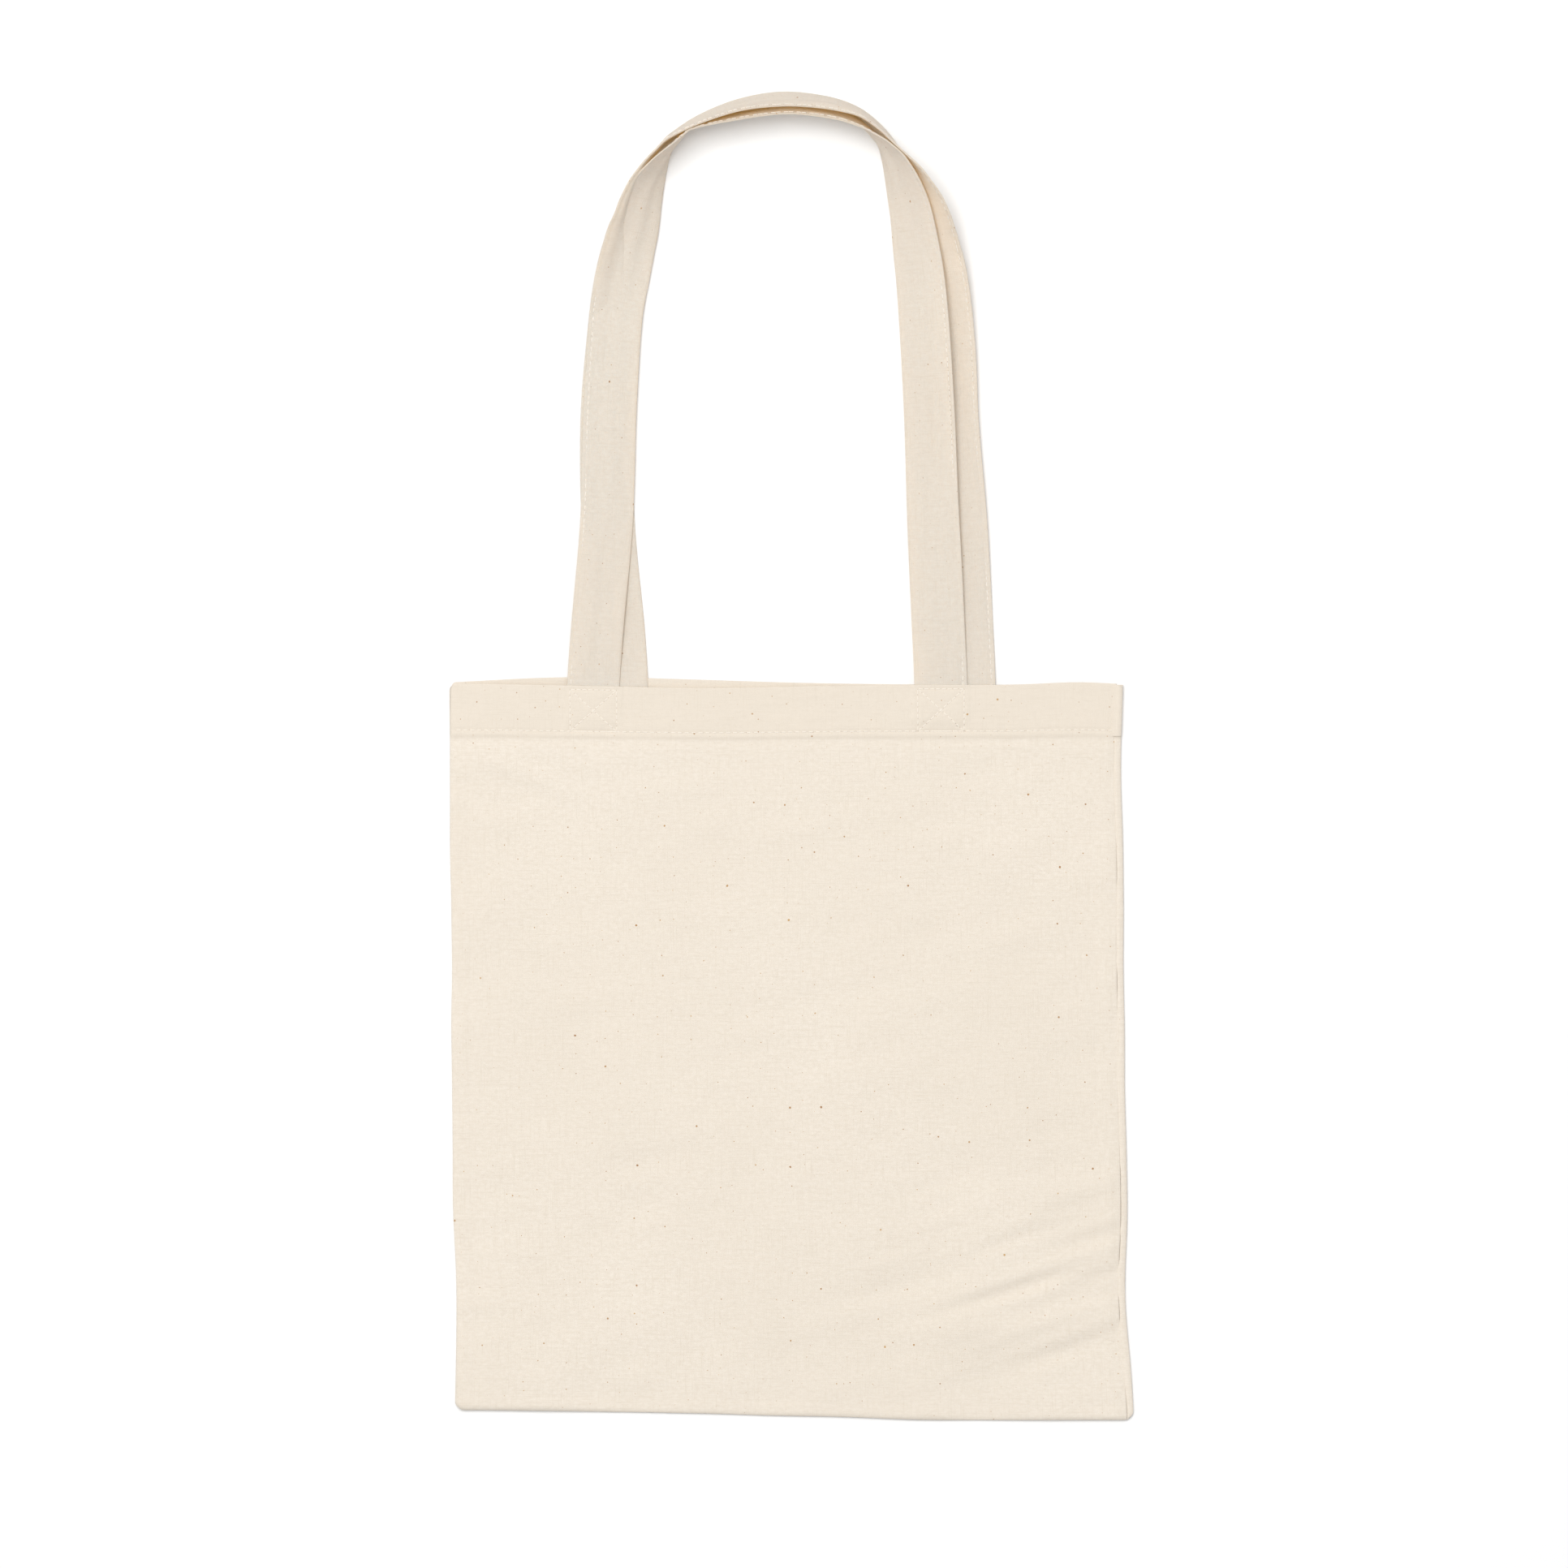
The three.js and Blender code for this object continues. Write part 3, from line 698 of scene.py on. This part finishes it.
# %% One stitch, repeated along a line
THREAD = 0.6 * MM
PITCH = 3.9 * MM
BOX_PITCH = 3.3 * MM
bpy.ops.mesh.primitive_uv_sphere_add(segments=8, ring_count=6, radius=1)
pattern = bpy.context.object
sphere = np.array([v.co for v in pattern.data.vertices])
sphere_faces = [tuple(p.vertices) for p in pattern.data.polygons]
bpy.data.objects.remove(pattern)
print("one stitch", len(sphere_faces), "faces")


def stitch_row(name, centres, directions, normals, length=0.9 * PITCH, thread=THREAD):
    """Stitches at the centres, along the directions, lying on a surface with those normals."""
    side = np.cross(normals, directions)
    side /= np.linalg.norm(side, axis=1)[:, None]
    points, faces, along = [], [], []
    for c, d, s, n in zip(centres, directions, side, normals):
        start = len(points) * len(sphere)
        along.append(sphere[:, 2])
        bend = -0.35 * thread * sphere[:, 2] ** 2
        body = c + np.outer(sphere[:, 2] * length / 2, d) + np.outer(sphere[:, 0] * thread / 2, s)
        points.append(body + np.outer(sphere[:, 1] * thread / 2 + bend, n))
        faces += [tuple(start + i for i in f) for f in sphere_faces]
    data = bpy.data.meshes.new(name)
    data.from_pydata(np.vstack(points).tolist(), [], faces)
    u = np.concatenate(along)
    set_uv(data, u, 0 * u)
    data.shade_smooth()
    return linked(name, data)


def level_row(name, centres, directions):
    """Stitches on cloth that faces up."""
    centres, directions = np.vstack(centres), np.vstack(directions)
    return stitch_row(name, centres, directions, np.tile([0.0, 0.0, 1.0], (len(centres), 1)))


def spread_along(line, pitch):
    """Evenly spaced places along a line, and the line's direction."""
    (x0, y0), (x1, y1) = line
    length = math.hypot(x1 - x0, y1 - y0)
    count = max(2, round(length / pitch))
    t = (np.arange(count) + 0.5) / count
    return x0 + (x1 - x0) * t, y0 + (y1 - y0) * t, [(x1 - x0) / length, (y1 - y0) / length, 0.0]


# %% Rows of stitching on the front face
def on_face(x, y, lift=0.1 * MM):
    """Points just above the front panel's face, in the frame."""
    z = face_height(x, y) + lift
    lie_x, lie_y = lay(x, y)
    return np.column_stack([lie_x, lie_y + front_mouth(x) * near_mouth(y), z])


def row_on_face(name, lines, pitch=PITCH):
    """Rows that follow the front panel's face."""
    centres, directions = [], []
    for line in lines:
        x, y, _ = spread_along(line, pitch)
        centres.append(on_face(x, y))
        ends = on_face(*np.array(line).T)
        flat = (ends[1] - ends[0]) * [1, 1, 0]
        directions.append(np.tile(flat / np.linalg.norm(flat), (len(x), 1)))
    return level_row(name, centres, directions)


hem_left = row_on_face("front_hem_stitches_left", [((-HALF + 3 * MM, -HEM_ROW), (0, -HEM_ROW))])
hem_end = HALF - SEAM_WRAP - 1 * MM
hem_right = row_on_face("front_hem_stitches_right", [((0, -HEM_ROW), (hem_end, -HEM_ROW))])
box_stitches = {}
for hand in ("left", "right"):
    box_stitches[hand] = row_on_face(f"front_{hand}_box_and_cross", box_edges("front", hand), BOX_PITCH)
print("front rows", 2 + len(box_stitches))


# %% Rows of stitching on the inside of the back hem and along the handles
def flat_row(name, lines, height, pitch=PITCH):
    """Rows at one height, inside the bag."""
    centres, directions = [], []
    for line in lines:
        x, y, direction = spread_along(line, pitch)
        lie_x, lie_y = lay(x, y)
        centres.append(np.column_stack([lie_x, lie_y, np.full(len(x), height)]))
        directions.append(np.tile(direction, (len(x), 1)))
    return level_row(name, centres, directions)


BACK_HEM_TOP = 1.75 * MM
BACK_BOX_TOP = 1.45 * MM + STRAP_THICK
back_row = ((-HALF + 5 * MM, -HEM_ROW), (HALF - 8 * MM, -HEM_ROW))
back_hem = flat_row("back_hem_stitches", [back_row], BACK_HEM_TOP)
for hand in ("left", "right"):
    lines = box_edges("back", hand)
    box_stitches["back", hand] = flat_row(f"back_{hand}_box_and_cross", lines, BACK_BOX_TOP, BOX_PITCH)


def strap_stitches(name, side):
    """Needle thread on one face and bobbin thread on the other, along the open edge."""
    place = places[side]
    at = np.arange(PITCH / 2, place["at"][-1], PITCH)
    k = np.clip(np.searchsorted(place["at"], at), 1, len(place["at"]) - 2)
    ahead = place["edge"][k + 1] - place["edge"][k - 1]
    ahead = ahead + (place["across"][k + 1] - place["across"][k - 1]) * STITCH_LINE
    ahead /= np.linalg.norm(ahead, axis=1)[:, None]
    base = place["edge"][k] + place["across"][k] * STITCH_LINE
    face = place["face"][k]
    upper = base + face * (STRAP_THICK * 0.80 + 0.05 * MM)
    lower = base + face * (STRAP_THICK * 0.20 - 0.05 * MM)
    both = np.vstack([upper, lower])
    return stitch_row(name, both, np.vstack([ahead, ahead]), np.vstack([face, -face]))


front_edge_row = strap_stitches("front_strap_stitches", "front")
back_edge_row = strap_stitches("back_strap_stitches", "back")
print("handle rows", len(front_edge_row.data.polygons), len(back_edge_row.data.polygons), "faces")

# %% [markdown]
# ## Inside the seams
# Inside, the joined edges of the panels are bound by an overlocking zigzag. It is a thin bent thread over
# the raw edge, next to the straight row that joins the panels. Both lie between the two layers and show
# only when the mouth is open, so the zigzag is a plain bent curve with a thin bevel, turned into a mesh.


# %% Overlocking and joining rows
def zigzag(name, line, height, swing=2.2 * MM, step=1.6 * MM):
    """A thin thread that swings from side to side of a line."""
    (x0, y0), (x1, y1) = line
    length = math.hypot(x1 - x0, y1 - y0)
    count = round(length / step)
    t = np.arange(count + 1) / count
    away = np.where(np.arange(count + 1) % 2, swing, -swing)
    x = x0 + (x1 - x0) * t - away * (y1 - y0) / length
    y = y0 + (y1 - y0) * t + away * (x1 - x0) / length
    lie_x, lie_y = lay(x, y)
    curve = bpy.data.curves.new(name, "CURVE")
    curve.dimensions = "3D"
    curve.bevel_depth = 0.2 * MM
    curve.bevel_resolution = 0
    spline = curve.splines.new("POLY")
    spline.points.add(count)
    spline.points.foreach_set("co", np.column_stack([lie_x, lie_y, 0 * x + height, 0 * x + 1]).ravel())
    holder = bpy.data.objects.new(name + "_line", curve)
    piece = linked(name, bpy.data.meshes.new_from_object(holder))
    bpy.data.objects.remove(holder)
    return piece


RAW = ALLOWANCE - 2.2 * MM  # the overlocking's distance from the edge of the bag
JOIN = 1.5 * MM  # and the joining row's
INSIDE = SEAM_LEVEL + 0.35 * MM
SEAM_TOP = -HEM - 2 * MM
SEAM_FOOT = -HEIGHT + 12 * MM


def seam_lines(from_left, from_right, from_bottom):
    """The three seams as lines, at these distances in from the edges of the bag."""
    return {
        "left": ((-HALF + from_left, SEAM_FOOT), (-HALF + from_left, SEAM_TOP)),
        "right": ((HALF - from_right, SEAM_FOOT), (HALF - from_right, SEAM_TOP)),
        "bottom": ((-HALF + 6 * MM, -HEIGHT + from_bottom), (HALF - 8 * MM, -HEIGHT + from_bottom)),
    }


raw_lines = seam_lines(RAW, SEAM_WRAP + RAW, RAW)
join_lines = seam_lines(JOIN, SEAM_WRAP + 1 * MM, JOIN)
overlocking, joining = {}, {}
for where in raw_lines:
    overlocking[where] = zigzag(f"{where}_overlocking_thread", raw_lines[where], INSIDE)
    joining[where] = flat_row(f"{where}_seam_stitches", [join_lines[where]], INSIDE, 3 * MM)
print("inner seams", len(overlocking) + len(joining), "pieces")

# %% [markdown]
# ## Cotton
# Unbleached cotton is a warm cream. Its plain weave is a fine check of raised threads; thicker threads run
# as faint streaks both ways, and specks of seed husk are left in it, brown and very small. A picture of
# cloth would repeat, so the weave is built from stretched noise on the UV map, which runs along the
# threads.

# %% Node helpers
CREAM = (0.872, 0.795, 0.694, 1)
STRAP_CREAM = (0.995, 0.962, 0.885, 1)
THREAD_CREAM = (0.92, 0.86, 0.77, 1)
HUSK_DARK = (0.36, 0.16, 0.05, 1)
HUSK_LIGHT = (0.60, 0.36, 0.14, 1)
LIGHT_THROUGH = (1.0, 0.74, 0.38, 1)


def new_material(name):
    """A material with its node tree and its shader."""
    material = bpy.data.materials.new(name)
    material.use_nodes = True
    return material, material.node_tree, material.node_tree.nodes["Principled BSDF"]


def math_node(tree, operation, a, b=None):
    node = tree.nodes.new("ShaderNodeMath")
    node.operation = operation
    for slot, value in ((0, a), (1, b)):
        if value is None:
            continue
        if isinstance(value, (int, float)):
            node.inputs[slot].default_value = value
        else:
            tree.links.new(value, node.inputs[slot])
    return node.outputs[0]


def times(tree, a, b):
    return math_node(tree, "MULTIPLY", a, b)


def plus(tree, a, b):
    return math_node(tree, "ADD", a, b)


def scaled(tree, vector, x, y):
    node = tree.nodes.new("ShaderNodeVectorMath")
    node.operation = "MULTIPLY"
    tree.links.new(vector, node.inputs[0])
    node.inputs[1].default_value = (x, y, 1)
    return node.outputs[0]


def noise_node(tree, vector, detail=2.0, rough=0.5):
    node = tree.nodes.new("ShaderNodeTexNoise")
    node.inputs["Scale"].default_value = 1
    node.inputs["Detail"].default_value = detail
    node.inputs["Roughness"].default_value = rough
    tree.links.new(vector, node.inputs["Vector"])
    return node.outputs["Fac"]


def ramp(tree, value, low, high):
    """The value stretched from low..high to 0..1."""
    node = tree.nodes.new("ShaderNodeMapRange")
    node.clamp = True
    node.inputs["From Min"].default_value = low
    node.inputs["From Max"].default_value = high
    tree.links.new(value, node.inputs["Value"])
    return node.outputs["Result"]


def relief(tree, height, strength, depth, shader):
    """Lets a height stand out on the surface, by the given depth in metres."""
    node = tree.nodes.new("ShaderNodeBump")
    node.inputs["Strength"].default_value = strength
    node.inputs["Distance"].default_value = depth
    tree.links.new(height, node.inputs["Height"])
    tree.links.new(node.outputs["Normal"], shader.inputs["Normal"])


# %% The weave, as a group of its own
HUSK_LAYERS = ((58, 0.014, 0.026, 0.5), (125, 0.018, 0.026, 0.6))  # cells a metre, least, spread, share


def weave_group():
    """From a place on the cut cloth, in metres: the weave's height, its thick threads and its specks."""
    group = bpy.data.node_groups.new("plain_weave", "ShaderNodeTree")
    group.interface.new_socket("Cloth", in_out="INPUT", socket_type="NodeSocketVector")
    for name in ("Height", "Streaks", "Specks", "Speck tone"):
        group.interface.new_socket(name, in_out="OUTPUT", socket_type="NodeSocketFloat")
    given = group.nodes.new("NodeGroupInput").outputs["Cloth"]
    result = group.nodes.new("NodeGroupOutput")
    across = noise_node(group, scaled(group, given, 45, 1500), 2, 0.6)
    up = noise_node(group, scaled(group, given, 1500, 45), 2, 0.6)
    fine_across = noise_node(group, scaled(group, given, 160, 3800), 1, 0.5)
    fine_up = noise_node(group, scaled(group, given, 3800, 160), 1, 0.5)
    streaks = math_node(group, "MAXIMUM", across, up)
    fine = math_node(group, "MAXIMUM", fine_across, fine_up)
    checker = group.nodes.new("ShaderNodeTexChecker")
    checker.inputs["Scale"].default_value = 1
    group.links.new(scaled(group, given, 1900, 1900), checker.inputs["Vector"])
    height = plus(group, times(group, streaks, 0.9), fine)
    height = plus(group, height, times(group, checker.outputs["Fac"], 0.25))
    specks = None
    wobble = noise_node(group, scaled(group, given, 900, 900), 1)
    for per_metre, smallest, spread, share in HUSK_LAYERS:
        cells = group.nodes.new("ShaderNodeTexVoronoi")
        cells.voronoi_dimensions = "2D"
        cells.inputs["Scale"].default_value = per_metre
        group.links.new(given, cells.inputs["Vector"])
        parts = group.nodes.new("ShaderNodeSeparateColor")
        group.links.new(cells.outputs["Color"], parts.inputs[0])
        size = times(group, math_node(group, "POWER", parts.outputs[0], 3), spread)
        radius = plus(group, size, smallest)
        radius = times(group, radius, plus(group, wobble, 0.5))
        spot = ramp(group, math_node(group, "SUBTRACT", radius, cells.outputs["Distance"]), 0.0, 0.006)
        spot = times(group, spot, math_node(group, "LESS_THAN", parts.outputs[1], share))
        strength = times(group, parts.outputs[0], 0.6)
        spot = times(group, spot, plus(group, strength, 0.4))
        specks = spot if specks is None else math_node(group, "MAXIMUM", specks, spot)
        tone = parts.outputs[2]
    group.links.new(height, result.inputs["Height"])
    group.links.new(streaks, result.inputs["Streaks"])
    group.links.new(specks, result.inputs["Specks"])
    group.links.new(tone, result.inputs["Speck tone"])
    return group


WEAVE = weave_group()
print("weave group", len(WEAVE.nodes), "nodes")

# %% [markdown]
# The cloth's colour goes from broad and faint to fine: slow changes of tone, a mottle, a painted shade over
# the hem, thick threads, a painted highlight on the raised threads of the weave and the husks. The straps
# stand on edge against the light and a little of it comes through them, so they get a translucent part.
# Thread is smoother and painted darker where it dives, as painted shade for its needle holes.


# %% The cotton and the thread
def mixed(tree, factor, a, b, blend="MIX"):
    node = tree.nodes.new("ShaderNodeMix")
    node.data_type = "RGBA"
    node.blend_type = blend
    for name, value in (("Factor", factor), ("A", a), ("B", b)):
        socket = [s for s in node.inputs if s.name == name and (s.type == "RGBA" or name == "Factor")][0]
        if isinstance(value, (int, float, tuple)):
            socket.default_value = value
        else:
            tree.links.new(value, socket)
    return [s for s in node.outputs if s.type == "RGBA"][0]


def shade_of(base, red, green, blue):
    """A colour with each of its parts scaled."""
    return (base[0] * red, base[1] * green, base[2] * blue, 1)


def cotton(name, base, bump_depth=0.35 * MM, glow=0.0, shade_hem=False):
    """Unbleached cotton cloth."""
    material, tree, shader = new_material(name)
    where = tree.nodes.new("ShaderNodeUVMap").outputs["UV"]
    weave = tree.nodes.new("ShaderNodeGroup")
    weave.node_tree = WEAVE
    tree.links.new(where, weave.inputs["Cloth"])
    broad = ramp(tree, noise_node(tree, scaled(tree, where, 9, 7), 2), 0.3, 0.7)
    lighter = tuple(min(1, c * 1.025) for c in base[:3]) + (1,)
    darker = shade_of(base, 0.975, 0.968, 0.955)
    colour = mixed(tree, broad, darker, lighter)
    mottle = ramp(tree, noise_node(tree, scaled(tree, where, 320, 520), 3, 0.7), 0.35, 0.68)
    dull = shade_of(base, 0.93, 0.91, 0.88)
    colour = mixed(tree, times(tree, mottle, 0.95), colour, dull)
    # Painted shade: the hem band is coloured darker, where the doubled cloth lets less light back through
    # from the table.
    if shade_hem:
        upright = tree.nodes.new("ShaderNodeSeparateXYZ")
        tree.links.new(where, upright.inputs[0])
        hem_shade = ramp(tree, upright.outputs[1], HEIGHT - HEM - 0.6 * MM, HEIGHT - HEM + 0.6 * MM)
        colour = mixed(tree, times(tree, hem_shade, 0.7), colour, dull)
    thick = ramp(tree, weave.outputs["Streaks"], 0.55, 0.80)
    deep = shade_of(base, 0.86, 0.83, 0.78)
    colour = mixed(tree, times(tree, thick, 0.85), colour, deep)
    # Painted highlight: the weave is coloured lighter where its threads stand highest.
    weave_top_highlight = ramp(tree, weave.outputs["Height"], 0.9, 1.6)
    colour = mixed(tree, times(tree, weave_top_highlight, 0.30), colour, lighter)
    husk = mixed(tree, weave.outputs["Speck tone"], HUSK_DARK, HUSK_LIGHT)
    colour = mixed(tree, times(tree, weave.outputs["Specks"], 0.9), colour, husk)
    tree.links.new(colour, shader.inputs["Base Color"])
    smoother = times(tree, ramp(tree, weave.outputs["Streaks"], 0.3, 0.8), 0.08)
    tree.links.new(math_node(tree, "SUBTRACT", 0.97, smoother), shader.inputs["Roughness"])
    shader.inputs["Specular IOR Level"].default_value = 0.25
    shader.inputs["Sheen Weight"].default_value = 0.12
    shader.inputs["Sheen Roughness"].default_value = 0.5
    relief(tree, weave.outputs["Height"], 0.55, bump_depth, shader)
    if glow:
        through = tree.nodes.new("ShaderNodeBsdfTranslucent")
        through.inputs["Color"].default_value = LIGHT_THROUGH
        both = tree.nodes.new("ShaderNodeMixShader")
        both.inputs[0].default_value = glow
        tree.links.new(shader.outputs[0], both.inputs[1])
        tree.links.new(through.outputs[0], both.inputs[2])
        tree.links.new(both.outputs[0], tree.nodes["Material Output"].inputs["Surface"])
    return material


def sewing_thread():
    """Cotton sewing thread: two plies twisted, so it is ribbed aslant."""
    material, tree, shader = new_material("sewing_thread")
    where = tree.nodes.new("ShaderNodeTexCoord").outputs["Object"]
    fuzz = noise_node(tree, scaled(tree, where, 2600, 2600), 2)
    tone = mixed(tree, fuzz, (0.86, 0.79, 0.69, 1), THREAD_CREAM)
    apart = tree.nodes.new("ShaderNodeSeparateXYZ")
    tree.links.new(tree.nodes.new("ShaderNodeUVMap").outputs["UV"], apart.inputs[0])
    # Painted shade: both ends of every stitch are coloured dark brown, for the shadow where the thread dives
    # into its needle hole.
    stitch_end_shade = ramp(tree, math_node(tree, "ABSOLUTE", apart.outputs[0]), 0.66, 0.96)
    tone = mixed(tree, stitch_end_shade, tone, (0.33, 0.20, 0.11, 1))
    tree.links.new(tone, shader.inputs["Base Color"])
    shader.inputs["Roughness"].default_value = 0.75
    shader.inputs["Sheen Weight"].default_value = 0.2
    relief(tree, fuzz, 0.5, 0.1 * MM, shader)
    return material


canvas = cotton("unbleached_canvas", CREAM, shade_hem=True)
strap_cloth = cotton("strap_canvas", STRAP_CREAM, bump_depth=0.45 * MM, glow=0.3)
thread = sewing_thread()
print("materials", [m.name for m in (canvas, strap_cloth, thread)])

# %% Which piece is made of what
canvas_pieces = [front_left, front_right, back_canvas]
strap_pieces = [front_strap, back_strap]
thread_pieces = [hem_left, hem_right, back_hem, front_edge_row, back_edge_row]
thread_pieces += [*box_stitches.values(), *overlocking.values(), *joining.values()]
for group, material, slot in (
    (canvas_pieces, canvas, "canvas"),
    (strap_pieces, strap_cloth, "strap"),
    (thread_pieces, thread, "thread"),
):
    for piece in group:
        piece.data.materials.clear()
        piece.data.materials.append(material)
    print(slot, len(group), "pieces")

# %% [markdown]
# ## What moves with what
# The box stitching rides on the front or the back body, and the back panel, its hem row and the inner
# seams ride on the back body. The halves of the front panel, their hem rows and both handles with their edge
# stitching have their places baked into their meshes.

# %% Bodies
for piece in (front_left, hem_left):
    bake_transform(piece)
for piece in (front_right, hem_right):
    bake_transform(piece)
for piece, body in (
    (front_strap, "front"),
    (front_edge_row, "front"),
    (back_strap, "back"),
    (back_edge_row, "back"),
):
    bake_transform(piece)
for key, piece in box_stitches.items():
    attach(piece, "back" if isinstance(key, tuple) else "front")
for piece in (back_canvas, back_hem, *overlocking.values(), *joining.values()):
    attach(piece, "back")

# %% [markdown]
# ## What each piece stands for
# The construction model has its own plain node for every part of the bag. Each soft piece takes the place
# of one or more of them: a panel brings its seam allowances, and a strap is one strip with both of its sewn
# ends.

# %% Replaced nodes
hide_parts("front_panel")
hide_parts("front_panel")
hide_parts("back_panel", "left_seam_allowance", "right_seam_allowance", "bottom_seam_allowance")
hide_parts("front_hem_stitching")
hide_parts("front_hem_stitching")
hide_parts("back_hem_stitching")
for side, strap, row in (("front", front_strap, front_edge_row), ("back", back_strap, back_edge_row)):
    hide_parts(f"{side}_handle", f"{side}_handle_left_end", f"{side}_handle_right_end")
    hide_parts(f"{side}_handle_edge_stitching")
for hand in ("left", "right"):
    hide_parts(f"front_handle_{hand}_box_stitching")
    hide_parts(f"back_handle_{hand}_box_stitching")
for where in overlocking:
    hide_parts(f"{where}_seam_overlocking")
    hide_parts(f"{where}_seam_stitching")

# %% [markdown]

# %% [markdown]
# ## The table, the light and the camera
# The bag lies on a plain white table under a wide soft light from beyond the handles, and the camera looks
# straight down at it. A small lamp would throw hard shadows, so one large lamp and a pale room are used.

# %% Table and light
TABLE_SIZE = 12
TABLE_TOP = -0.2 * MM
bpy.ops.mesh.primitive_plane_add(size=TABLE_SIZE, location=(0, 0, TABLE_TOP))
table_top = bpy.context.object
table_top.name = "table_top"
white, _, paint = new_material("white_table")
paint.inputs["Base Color"].default_value = (0.95, 0.95, 0.95, 1)
paint.inputs["Roughness"].default_value = 0.9
paint.inputs["Specular IOR Level"].default_value = 0.1
table_top.data.materials.append(white)
print("table", TABLE_SIZE, "metres wide")

# %% The room's light, and the lamp
scene = bpy.context.scene
world = bpy.data.worlds.new("soft_room")
scene.world = world
world.use_nodes = True
background = world.node_tree.nodes["Background"]
background.inputs["Color"].default_value = (1, 1, 1, 1)
background.inputs["Strength"].default_value = 0.52
scene.view_settings.view_transform = "Standard"
scene.view_settings.look = "None"

lamp = bpy.data.lights.new("window", "AREA")
lamp.shape = "SQUARE"
lamp.size = 2.6
lamp.energy = 158
window = linked("window", lamp)
window.location = (-0.7, 1.2, 4.6)
window.rotation_euler = (-window.location).to_track_quat("-Z", "Y").to_euler()
print("window", [round(v, 2) for v in window.location], lamp.energy, "watts")

# %% [markdown]
# The camera stands straight above, far off with a long lens, so that the sides of the bag stay parallel. Its
# lens is worked out from the width it has to see.

# %% Camera
CENTRE = (MIDDLE - 1.4 * MM, MOUTH - 55.7 * MM)
VIEW_WIDTH = 888.7 * MM
DISTANCE = 6.0
FILM = 36  # width of the camera's film, in mm
camera = bpy.data.cameras.new("camera")
camera.sensor_width = FILM
camera.lens = FILM * DISTANCE / VIEW_WIDTH
camera.clip_end = 50
scene.camera = linked("camera", camera)
scene.camera.location = (*CENTRE, DISTANCE)
print("lens", round(camera.lens), "mm")
